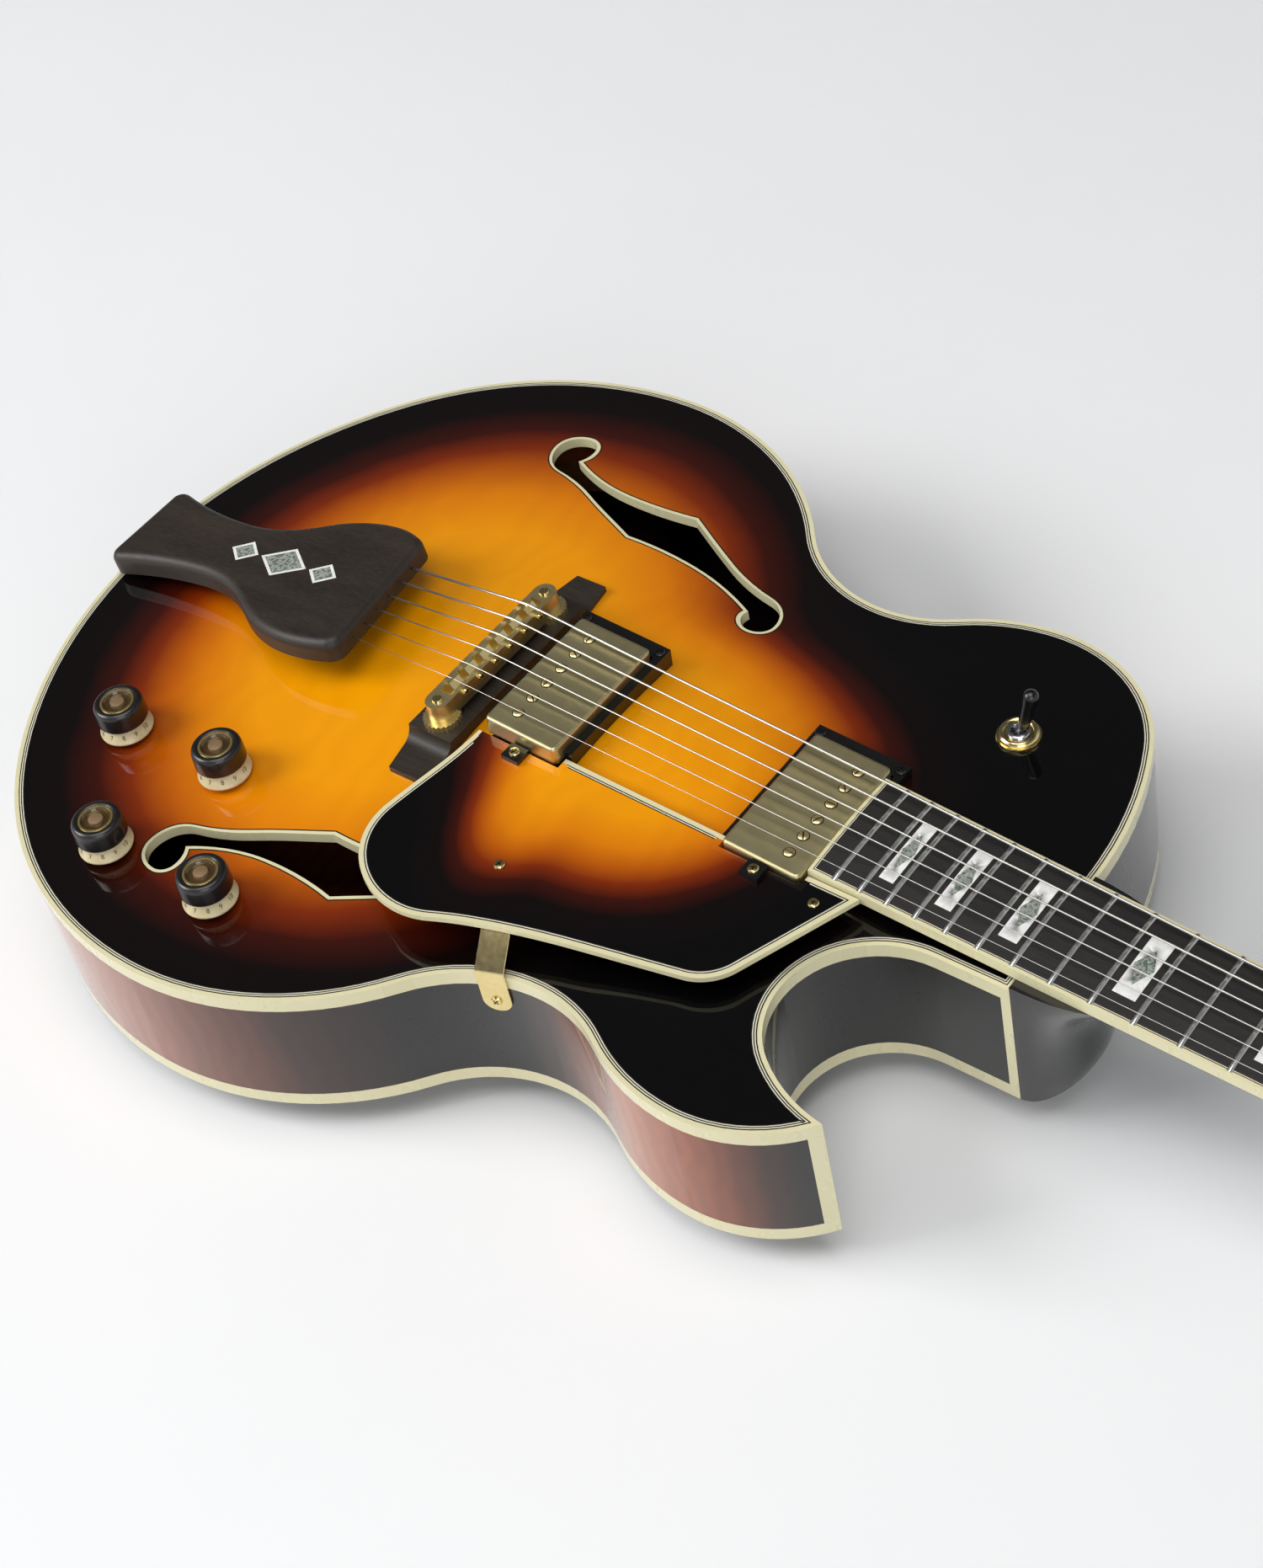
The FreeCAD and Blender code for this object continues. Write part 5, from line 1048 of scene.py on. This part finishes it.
# %% The bracket's strip
def strip(row, half, wall, corner, chamfer=0.25):
    """A strip along a row of points in millimetres, with rounded corners at its last end."""
    end = row[-1]
    row = row[:-1] + [end + (row[-2] - end).normalized() * corner * (1 - math.sin(math.radians(angle)))
                      for angle in range(0, 90, 9)] + [end]
    rings = []
    for index, point in enumerate(row):
        ahead = (row[min(index + 1, len(row) - 1)] - row[max(index - 1, 0)]).normalized()
        inward = Vector((0, 1, 0)).cross(ahead)
        past = max(0.0, corner - (end - point).length)
        wide = half - corner + math.sqrt(corner ** 2 - past ** 2)
        section = [(-wide + chamfer, 0), (wide - chamfer, 0), (wide, chamfer), (wide, wall - chamfer),
                   (wide - chamfer, wall), (-wide + chamfer, wall), (-wide, wall - chamfer), (-wide, chamfer)]
        rings.append([(point + Vector((0, across, 0)) + inward * depth) * MM for across, depth in section])
    return skin(rings[::-1])


BRACKET_WALL, BRACKET_CORNER = 1.2, 5.9
bracket = Gather().put(strip(strip_row, extent(seen, 1)[1], BRACKET_WALL, BRACKET_CORNER), 0, BRACKET)
bracket.piece("guard_bracket", "guitar", [gold], ["pickguard_bracket"], "gold_metal")
print("bracket faces:", len(bracket.faces))


# %% [markdown]
# ## Knobs
#
# Each knob is a moulded cap over a flared dial. The dial's cream skirt is printed with figures from 0 to
# 10. They could be a picture; as flat letter shapes they stay sharp close up.

# %% Printed figures
def figure(text, size):
    """A flat figure in millimetres, centred on the origin."""
    letters = bpy.data.curves.new("figure", "FONT")
    letters.body = text
    letters.size = size
    letters.align_x, letters.align_y = "CENTER", "CENTER"
    carrier = link("figure", letters)
    flat = read_shape(carrier)
    bpy.data.objects.remove(carrier)
    bpy.data.curves.remove(letters)
    return flat


FIGURE_SIZE = 3.1
figures = [figure(str(value), FIGURE_SIZE) for value in range(11)]
TANGENT, SLOPE = Vector((0, 1, 0)), Vector((-2.05, 0.0, 5.7)).normalized()
on_slope = Matrix((TANGENT, SLOPE, TANGENT.cross(SLOPE))).transposed().to_4x4()
AT_SKIRT = Matrix.Translation(Vector((11.22, 0, 3.7)) * MM) @ on_slope
print("figures:", len(figures))

# %% [markdown]
# The rest is turned from one profile, with the finish changing along it: the skirt, black walls with a
# rounded rim, a gold ring, a clear amber well and a boss in its middle. All four rest at the same end of
# their travel, so they are turned alike.

# %% Turning the knobs
SKIRT = [(3.2, 0.0), (12.0, 0.0), (12.3, 0.25), (12.3, 0.9), (12.05, 1.2), (10.0, 6.9), (9.8, 7.2)]
CAP = [(9.7, 6.9), (11.0, 6.9), (11.5, 7.1), (11.75, 7.5), (11.75, 8.4), (11.5, 14.2), (11.3, 15.2),
       (10.9, 16.0), (10.3, 16.6), (9.5, 16.9), (8.5, 16.8), (7.9, 16.5)]
RING = [(7.9, 16.5), (7.75, 16.8), (7.3, 16.9), (6.85, 16.8), (6.7, 16.4)]
WELL = [(6.7, 16.4), (6.3, 15.6), (6.0, 15.3), (3.7, 15.2), (3.4, 15.3)]
BOSS = [(3.4, 15.3), (3.3, 16.5), (3.1, 16.8), (2.7, 16.9), (0, 16.9)]
KNOB_HEIGHT, KNOB_TURN, FIGURE_STEP = 17, 2.3, 30
KNOB_FINISHES = [knob_black, knob_skirt, knob_ring, knob_amber, ink, knob_boss]
for number in range(1, 5):
    name = "knob_%d" % number
    low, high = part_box(name)
    centre = (low + high) / 2
    at_knob = Matrix.Translation((centre.x, centre.y, high.z - KNOB_HEIGHT * MM))
    base = at_knob @ Matrix.Rotation(KNOB_TURN, 4, "Z")
    knob = Gather()
    for profile, finish in ((SKIRT, 1), (CAP, 0), (RING, 2), (WELL, 3), (BOSS, 5)):
        knob.put(lathe(profile, 72), finish, base)
    shank = (high.z - low.z) / MM - KNOB_HEIGHT
    knob.put(lathe([(0, -shank), (3, -shank), (3, 3), (0, 3)], 32), 2, base)
    for value, flat in enumerate(figures):
        turn = Matrix.Rotation(math.radians(FIGURE_STEP * (value + 1)), 4, "Z")
        knob.put(flat, 4, base @ turn @ AT_SKIRT)
    knob.piece(name + "_dial", name, KNOB_FINISHES, [name], "knob_plastic")
print("knobs turned:", number)

# %% [markdown]
# ## Toggle switch
#
# A knurled washer lies on the wood, a smooth round nut holds the switch down on it, and the threaded bush
# shows inside the nut's well. The can hangs below the top. All but the can are turned, and the knurl is a
# row of teeth.

# %% Washer, nut and bush
SWITCH_LEVEL = 86.94
WASHER = [(5.9, 0.05), (9.5, 0.05), (9.8, 0.25), (9.8, 1.25), (9.5, 1.45), (6, 1.45)]
KNURL = {2: 0.45, 3: 0.45}
NUT = [(8.3, 1.4), (8.9, 1.8), (9.0, 2.4), (8.6, 3.2), (7.7, 3.7), (6.8, 3.6), (6.1, 3.0), (5.7, 2.5),
       (5.0, 2.4)]
THREAD = [(4.6 if step % 2 else 4.9, 1.8 + 0.35 * step) for step in range(7)]
BUSH = [(5.2, 1.6)] + THREAD + [(4.3, 4.2), (3.4, 4.2), (3.2, 3.9), (3.2, -3)]
SLEEVE = [(3.3, -6.3), (5.9, -6.3), (5.9, 0.1), (5.0, 0.1)]
CAN, CAN_MIDDLE = (18, 14, 26), (0, 0, -19.3)
spot = sum(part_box("switch_body"), Vector()) / 2
at_switch = Matrix.Translation((spot.x, spot.y, SWITCH_LEVEL * MM))
switch = Gather()
switch.put(lathe(WASHER, 128, KNURL), 0, at_switch)
switch.put(lathe(NUT, 72), 0, at_switch)
switch.put(lathe(BUSH, 48), 1, at_switch)
switch.put(lathe(SLEEVE, 40), 1, at_switch)
switch.put(box(CAN, CAN_MIDDLE), 2, at_switch)
switch.piece("switch_nut", "guitar", [gold, steel, dull_metal], ["switch_body"], "gold_metal")
print("switch faces:", len(switch.faces))


# %% [markdown]
# ## The switch's lever
#
# A steel stem swings on a ball inside the bush, and a black tip is pressed onto it. The tip widens
# towards a rounded end, so that a finger finds it. It leans as the lever does when it rests in one of its
# end places.

# %% The lever
def arc(radius, angles, height=0.0):
    """Points of a profile on a circle, by their angles from the ground in degrees."""
    turns = [math.radians(angle) for angle in angles]
    return [(radius * math.cos(turn), height + radius * math.sin(turn)) for turn in turns]


LEAN, LEAN_AXIS, BALL_DEPTH = 14, Vector((-0.8, -0.6, 0.0)), 2.9
ball = [(0, -2.9)] + arc(2.9, range(-78, 70, 12))
stem = [(1.3, 2.6), (1.3, 8.4), (2.2, 8.6), (2.45, 9.0)]
tip = [(2.3, 8.9), (2.6, 9.1), (2.65, 9.8), (2.75, 12.0), (3.0, 17.0), (3.35, 22.5)]
dome = arc(3.6, range(0, 90, 10), 25.9) + [(0, 29.5)]
at_ball = Matrix.Translation((spot.x, spot.y, (SWITCH_LEVEL - BALL_DEPTH) * MM))
at_lever = at_ball @ Matrix.Rotation(math.radians(LEAN), 4, LEAN_AXIS)
lever = Gather().put(lathe(ball + stem, 40), 1, at_lever).put(lathe(tip + dome, 48), 0, at_lever)
lever.piece("switch_tip", "switch_lever", [black_plastic, steel], ["switch_lever"], "black_plastic")
print("lever faces:", len(lever.faces))

# %% [markdown]
# ## Strings
#
# Six strings run from the tailpiece over the saddles to the nut and on to the posts. They are steel, and
# the low ones are wound, which shows as fine ridges. The ridges are too small to model, so a faint wave
# in the relief draws them, for all six alike.

# %% String steel
string_steel, tree, shader = fresh("string_steel")
point = place_of(tree)
surface = use(tree, SURFACE, {"Point": point, "Stretch": (1.0, 0.2, 1.0), "Scale": 90.0})
winding = add(tree, "ShaderNodeTexWave", {"Vector": point, "Scale": 420.0}, bands_direction="Y")
set_shader(tree, shader, {"Base Color": mix(tree, surface["Broad"], tone(212, 208, 198), tone(238, 236, 230)),
                          "Metallic": 1.0, "Roughness": span(tree, surface["Fine"], 0.3, 0.4)})
bump(tree, shader, winding.outputs["Fac"], 0.02, 0.0001)
print("material for strings:", string_steel.name)


# %% [markdown]
# When the bridge is raised the strings lift with the saddles, so they are cut at the saddles and at the
# nut. The two stretches beside the bridge stay fixed where they lie; the third rides with the guitar.

# %% Three stretches of string
def stretch(name, first, last):
    """The strings between two places along the body, as a piece of their own."""
    shape = welded("strings")
    for place, clear in ((first, {"clear_inner": True}), (last, {"clear_outer": True})):
        if place is not None:
            everything = shape.verts[:] + shape.edges[:] + shape.faces[:]
            bmesh.ops.bisect_plane(shape, geom=everything, plane_co=(0, place, 0), plane_no=(0, 1, 0),
                                   **clear)
    mesh = bpy.data.meshes.new(name)
    shape.to_mesh(mesh)
    shape.free()
    mesh.materials.append(string_steel)
    mesh.shade_smooth()
    piece = link(name, mesh)
    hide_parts("strings")
    return piece


SADDLE_LINE = 0.0
STRING_LENGTH = 628 * MM
NUT_LINE = (NECK @ Vector((0, STRING_LENGTH, 0))).y
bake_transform(stretch("strings_behind_bridge", None, SADDLE_LINE))
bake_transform(stretch("strings_over_board", SADDLE_LINE, NUT_LINE))
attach(stretch("strings_at_head", NUT_LINE, None), "guitar")
print("strings in three stretches, nut at y =", round(NUT_LINE, 4))


# %% [markdown]
# ## Tuning machines
#
# Behind the headstock each machine has a cast case with soft corners, closed by a slotted screw. A case
# could be a block with a bevel; a stack of rounded rectangles that shrink towards its back gives a
# casting's fuller corners.

# %% A cast case
def moulded(half, corner, layers, around=40):
    """A stack of rounded rectangles, each given as inset and height in millimetres, closed at both ends."""
    rows = []
    for inset, height in layers:
        row = []
        for step in range(around):
            turn = 2 * math.pi * (step + 0.5) / around
            across, along = math.cos(turn), math.sin(turn)
            x = math.copysign(half[0] - corner, across) + (corner - inset) * across
            y = math.copysign(half[1] - corner, along) + (corner - inset) * along
            row.append(Vector((x, y, height)) * MM)
        rows.append(row)
    return skin(rows[::-1])


CASE_HALF, CASE_CORNER = (7.8, 9.85), 3.2
CASE_LAYERS = [(0, -15), (0, -22.4), (0.35, -23.6), (1.1, -24.5), (2.2, -24.95), (3.0, -25)]
case = moulded(CASE_HALF, CASE_CORNER, CASE_LAYERS)
case_screw = screw_head(2.2, 0.6, False)
# Painted shade: a thin black strip at the bottom of the case screw's slot.
case_slot_shade = box((4.0, 0.6, 0.04), (0, 0, 0.33))
print("faces of a case:", len(case[1]))

# %% [markdown]
# In front, a washer and a hexagonal bush hold each machine. A point of a machine belongs to the case or
# to the bush by the side of the headstock it lies on.

# %% Setting the machines
CASE_BELOW, BUSH_ABOVE, CASE_BACK = -15.5 * MM, 0.5 * MM, -24.9 * MM
washer = lathe([(3.2, -15), (5, -15), (5, 0.02), (7, 0.02), (7, 0.4), (6.7, 0.65), (3.2, 0.65)], 64)
bush = lathe([(3.2, 0.6), (5.5, 0.6), (5.75, 0.75), (5.75, 1.2), (5.3, 1.5), (3.2, 1.5)], 6)
cases = Gather()
for points, faces in islands("tuner_housings"):
    flat = [HEAD.inverted() @ point for point in points]
    behind = [point for point in flat if point.z < CASE_BELOW]
    before = [point for point in flat if point.z > BUSH_ABOVE]
    if behind:
        at_case = HEAD @ Matrix.Translation(middle(behind).to_2d().to_3d())
        at_back = at_case @ Matrix.Translation((0, 0, CASE_BACK)) @ Matrix.Rotation(math.pi, 4, "X")
        cases.put(case, 0, at_case).put(case_screw, 0, at_back).put(case_slot_shade, 1, at_back)
    if before:
        at_bush = HEAD @ Matrix.Translation(middle(before).to_2d().to_3d())
        cases.put(washer, 0, at_bush).put(bush, 0, at_bush)
cases.piece("tuner_cases", "guitar", [gold, black_line], ["tuner_housings"], "gold_metal")
print("machine case faces:", len(cases.faces))

# %% [markdown]
# ## Lines on the headstock
#
# The veneer on the headstock's face is bound like the body: a cream edge, and one white line inside it.
# Both are ribbons like the purfling, laid on the leaning face.

# %% Lines on the headstock
veneer_row = refined(crease_loops("headstock_veneer", HEAD_UP)[0])
veneer_lines = Gather()
lay(veneer_lines, veneer_row, [(0.02, 1.7, 0), (2.3, 2.8, 1)], surface_tree("headstock_veneer"), HEAD_UP)
veneer_lines.piece("headstock_lines", "guitar", [cream, white_line], slot="cream_binding")
print("headstock edge:", round(row_length(veneer_row), 3))


# %% [markdown]
# ## String coils
#
# At the headstock each string is wound a few turns round its post. A curve with thickness would do; a
# skin over small circles along a helix is as short, and rides on its post like any other piece.

# %% A coil
def coil(radius, wire, turns, pitch, around=28, sides=8):
    """A helix of wire about Z, in millimetres."""
    swings = [2 * math.pi * side / sides for side in range(sides)]
    rows = []
    for step in range(int(turns * around) + 1):
        turn = 2 * math.pi * step / around
        out = Vector((math.cos(turn), math.sin(turn), 0))
        centre = out * radius + UP * (-pitch * step / around)
        ways = [out * math.cos(swing) + UP * math.sin(swing) for swing in swings]
        rows.append([(centre + way * wire) * MM for way in ways])
    return skin(rows, caps=False)


WIRES = [0.6, 0.5, 0.4, 0.3, 0.22, 0.18]
POST_RADIUS, COIL_TURNS, COIL_PITCH, COIL_START = 3.05, 3.6, 2.1, 150
print("thickest wire:", 2 * WIRES[0], "mm")

# %% [markdown]
# The end of a string that lies nearest to a post's axis tells how high its coil starts. The coil rides on
# the post, so it turns when the string is tuned.

# %% Winding the posts
ends = [max(points, key=lambda point: point.y) for points, faces in islands("strings")]
for number, wire in enumerate(WIRES, 1):
    post = "tuner_post_%d" % number
    centre = middle([vertex.co for vertex in NODES[post].data.vertices])
    end = min(ends, key=lambda end: (end - centre).cross(HEAD_UP).length)
    at_post = standing(centre + HEAD_UP * (end - centre).dot(HEAD_UP), HEAD_UP, COIL_START)
    wound = Gather().put(coil(POST_RADIUS + wire, wire, COIL_TURNS, wire * COIL_PITCH), 0, at_post)
    wound.piece("string_coil_%d" % number, post, [string_steel], slot="bright_steel")
print("coils:", number)


# %% [markdown]
# ## Shell inlays
#
# The position markers are pearl blocks with a darker shell diamond let into each. A thin plate of shell
# is drawn flat, divided finely and dropped onto the curved wood, much as a real one is sanded to the
# board's curve.

# %% Position markers
def plate(corners, tree, facing, lift, steps=10):
    """A thin four-cornered plate laid on a surface."""
    shares = [step / steps for step in range(steps + 1)]
    rows = []
    for down in shares:
        start, stop = corners[0].lerp(corners[3], down), corners[1].lerp(corners[2], down)
        rows.append([seat(tree, start.lerp(stop, across), facing, lift) for across in shares])
    return skin(rows, closed=False, caps=False)


def diamond(centre, across, along, facing):
    side = facing.cross(Vector((1, 0, 0))).normalized()
    wide = Vector((1, 0, 0)) * across
    return [centre - wide, centre - side * along, centre + wide, centre + side * along]


DIAMOND_WIDE, DIAMOND_LONG, SHELL_LIFT = 0.62, 0.86, 0.00005
on_markers = surface_tree("fingerboard_inlays")
markers = Gather()
for points, faces in islands("fingerboard_inlays"):
    markers.put((points, faces), 0)
    near, far = extent(points, 1)
    across = extent(points, 0)[1] * DIAMOND_WIDE
    corners = diamond(middle(points), across, (far - near) / 2 * DIAMOND_LONG, NECK_UP)
    markers.put(plate(corners, on_markers, NECK_UP, SHELL_LIFT), 1)
markers.piece("position_markers", "guitar", [pearl, abalone], ["fingerboard_inlays"], "pearl")
print("marker faces:", len(markers.faces))

# %% [markdown]
# The tailpiece carries three lozenges of dark shell with a pearl border, which is one more ribbon. A
# border could be cut as a frame of its own; a ribbon on the edge needs no cutting.

# %% Lozenges on the tailpiece
LOZENGE_STATION, PEARL_BORDER = 0.002, [(0.03, 1.4, 0)]
on_inlay = surface_tree("tailpiece_inlay")
lozenges = Gather()
for shape in islands("tailpiece_inlay"):
    lozenges.put(shape, 1)
for row in crease_loops("tailpiece_inlay", TAIL_UP):
    lay(lozenges, refined(row, LOZENGE_STATION), PEARL_BORDER, on_inlay, TAIL_UP)
lozenges.piece("tailpiece_lozenges", "guitar", [pearl, abalone], ["tailpiece_inlay"], "pearl")
print("lozenge faces:", len(lozenges.faces))


# %% [markdown]
# ## Saddles and posts
#
# Each string rests on a small wedge with a notch in its ridge, and a slotted screw through the bar moves
# the wedge along the string. The wedge is a skin between two outlines, and its notch is cut, as it is
# filed on a real one.

# %% Wedges and screws
def wedge(width, length, height, ridge):
    """A block whose top slopes up to a ridge that lies across the strings."""
    far = length / 2
    low = height - ridge
    outline = [(-far, 0), (far, 0), (far, low), (0.6, height), (-0.6, height), (-far, low)]
    return skin([[Vector((side * width / 2, y, z)) * MM for y, z in outline] for side in (-1, 1)])


def groove(height):
    """A cutter for the string's notch, over a wedge of some height."""
    outline = [(-0.9, height + 0.6), (0.9, height + 0.6), (0, height - 0.55)]
    return skin([[Vector((x, y, z)) * MM for x, z in outline] for y in (4, -4)])


def along_y(shape):
    """A shape turned so that its axis points towards the neck."""
    turn = Matrix.Rotation(math.radians(-90), 4, "X")
    return [turn @ point for point in shape[0]], shape[1]


saddle_screw = along_y(screw_head(1.75, 1.5, False))
saddle_shaft = along_y(lathe([(0, 0), (1.0, 0), (1.0, 9.6), (0, 9.6)], 20))
print("faces of a saddle's screw:", len(saddle_screw[1]) + len(saddle_shaft[1]))

# %% [markdown]
# A wedge stands a little higher than the plain block in its place. Only the blocks that reach behind the
# string's resting line are saddles; the other loose pieces of that solid are their screws.

# %% Setting the saddles
SADDLE_RISE, SADDLE_WIDE, SADDLE_LONG, SADDLE_SLOPE = 0.35, 6.4, 7.0, 3.6
SHAFT_START, SCREW_HEAD_START, SCREW_LEVEL = -0.0046, 0.0056, 2.5 * MM
BEHIND_LINE = -1 * MM
saddles = Gather()
blocks = [points for points, faces in islands("saddles") if extent(points, 1)[0] < BEHIND_LINE]
for points in blocks:
    x = middle(points).x
    base, top = extent(points, 2)
    height = (top - base) / MM + SADDLE_RISE
    block = carved(wedge(SADDLE_WIDE, SADDLE_LONG, height, SADDLE_SLOPE), [groove(height)])
    saddles.put(block, 0, Matrix.Translation((x, 0, base)))
    saddles.put(saddle_shaft, 1, Matrix.Translation((x, SHAFT_START, base + SCREW_LEVEL)))
    saddles.put(saddle_screw, 1, Matrix.Translation((x, SCREW_HEAD_START, base + SCREW_LEVEL)))
saddles.piece("saddle_wedges", "bridge_bar", [soft_gold, gold], ["saddles"], "gold_metal")
print("saddles:", len(blocks))

# %% [markdown]
# The bar hangs on two threaded posts with a slot in the top, and knurled wheels under it set its height.
# A thread is a helix; at this size, rings of two radii by turns look the same and are simply turned.

# %% Posts of the bridge
POST_WIDE, POST_CORE, POST_PITCH, POST_TURN = 2.36, 2.2, 0.5, 0.5
studs = Gather()
for points, faces in islands("bridge_posts"):
    centre = middle(points)
    base, top = extent(points, 2)
    tall = (top - base) / MM
    steps = range(int(tall / POST_PITCH) - 3)
    ridges = [(POST_WIDE if step % 2 else POST_CORE, step * POST_PITCH) for step in steps]
    crown = [(POST_WIDE, tall - 1.4), (POST_WIDE, tall - 0.4), (2.1, tall), (0, tall)]
    stud = carved(lathe([(0, 0)] + ridges + crown, 32), [box((6, 0.8, 2), (0, 0, tall))])
    studs.put(stud, 0, Matrix.Translation((centre.x, centre.y, base)) @ Matrix.Rotation(POST_TURN, 4, "Z"))
studs.piece("bridge_studs", "guitar", [gold], ["bridge_posts"], "gold_metal")
print("stud faces:", len(studs.faces))

# %% [markdown]
# ## The stage
#
# The floor is pale and plain, a wide slab whose faint clouds keep it from looking empty. It belongs to
# the stage and not to the guitar.

# %% Floor
floor_material, tree, shader = fresh("pale_floor")
surface = use(tree, SURFACE, {"Point": place_of(tree), "Stretch": (1.0, 1.0, 1.0), "Scale": 3.0})
set_shader(tree, shader, {"Base Color": mix(tree, surface["Broad"], tone(236, 237, 238), tone(243, 243, 243)),
                          "Roughness": span(tree, surface["Fine"], 0.55, 0.7)})
bump(tree, shader, surface["Fine"], 0.02)
FLOOR, FLOOR_MIDDLE = (9000, 9000, 10), (0, 0, -5.2)
floor = Gather().put(box(FLOOR, FLOOR_MIDDLE)).piece("floor", None, [floor_material])
floor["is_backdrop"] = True
print("floor on the stage:", floor.name)

# %% [markdown]
# ## Surroundings
#
# Gloss shows its surroundings. A pale band lies round the horizon, and the sky darkens overhead and on
# the far side of the body, so that black lacquer stays black. A picture of a studio would do the same
# with less control.

# %% Surroundings
PALE, DARK = (0.80, 0.83, 0.86, 1), (0.10, 0.10, 0.105, 1)
FAR_SIDE = (-0.68, -0.73)
world = bpy.data.worlds.new("studio")
bpy.context.scene.world = world
world.use_nodes = True
sky = world.node_tree
direction = add(sky, "ShaderNodeTexCoord").outputs["Generated"]
way = add(sky, "ShaderNodeSeparateXYZ", {"Vector": direction}).outputs
sideways = calc(sky, "MULTIPLY", way["Y"], FAR_SIDE[1])
towards = calc(sky, "MULTIPLY_ADD", way["X"], FAR_SIDE[0], sideways)
dusk = calc(sky, "MAXIMUM", between(sky, way["Z"], 0.28, 0.66), between(sky, towards, 0.05, 0.55))
backdrop = sky.nodes["Background"]
set_shader(sky, backdrop, {"Color": mix(sky, dusk, PALE, DARK), "Strength": 0.8})
print("surroundings:", world.name)


# %% [markdown]
# ## Lamps
#
# One large soft lamp stands at the tail side, a second fills from behind the viewer and a broad one hangs
# overhead. Large lamps give soft shadows and wide, calm reflections.

# %% Lamps
def lamp(name, place, aim, size, power):
    light = bpy.data.lights.new(name, "AREA")
    light.shape = "RECTANGLE"
    light.size, light.size_y = size
    light.energy = power
    carrier = link(name, light)
    carrier.location = place
    carrier.rotation_euler = (Vector(aim) - Vector(place)).to_track_quat("-Z", "Y").to_euler()


lamp("key_lamp", (1.8, -2.4, 2.4), (0.0, 0.0, 0.1), (1.9, 1.9), 90)
lamp("fill_lamp", (2.4, 2.5, 2.2), (0.0, 0.1, 0.1), (2.2, 2.2), 35)
lamp("top_lamp", (0.5, 0.3, 3.4), (0.0, 0.1, 0.0), (2.5, 2.5), 59)
print("lamps:", len(bpy.data.lights))

# %% [markdown]
# ## Camera
#
# The camera stands over the neck's treble side, looking down across the body. Its three directions are
# given outright, because a camera that is aimed at a point could not be rolled as this one is.

# %% Camera
EYE = (0.5883, 0.6962, 0.9488)
RIGHT = Vector((-0.5961, 0.7861, -0.1633))
DOWN = Vector((0.6467, 0.3495, -0.6780))
AHEAD = Vector((-0.4759, -0.5097, -0.7167))
lens = bpy.data.cameras.new("camera")
lens.lens = 64.94
lens.clip_start, lens.clip_end = 0.05, 50
camera = link("camera", lens)
camera.matrix_world = Matrix.Translation(EYE) @ Matrix((RIGHT, -DOWN, -AHEAD)).transposed().to_4x4()
bpy.context.scene.camera = camera
bpy.context.scene.view_settings.view_transform = "Standard"
print("camera lens:", round(lens.lens, 2), "mm")

# %% [markdown]
# ## Closing the frame
#
# The finished look should stay inside the construction's own box, so the box round every shown solid, apart
# from the floor, is printed.

# %% Closing the frame
low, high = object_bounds()
print("visual box:", [round(value, 4) for value in (*low, *high)])
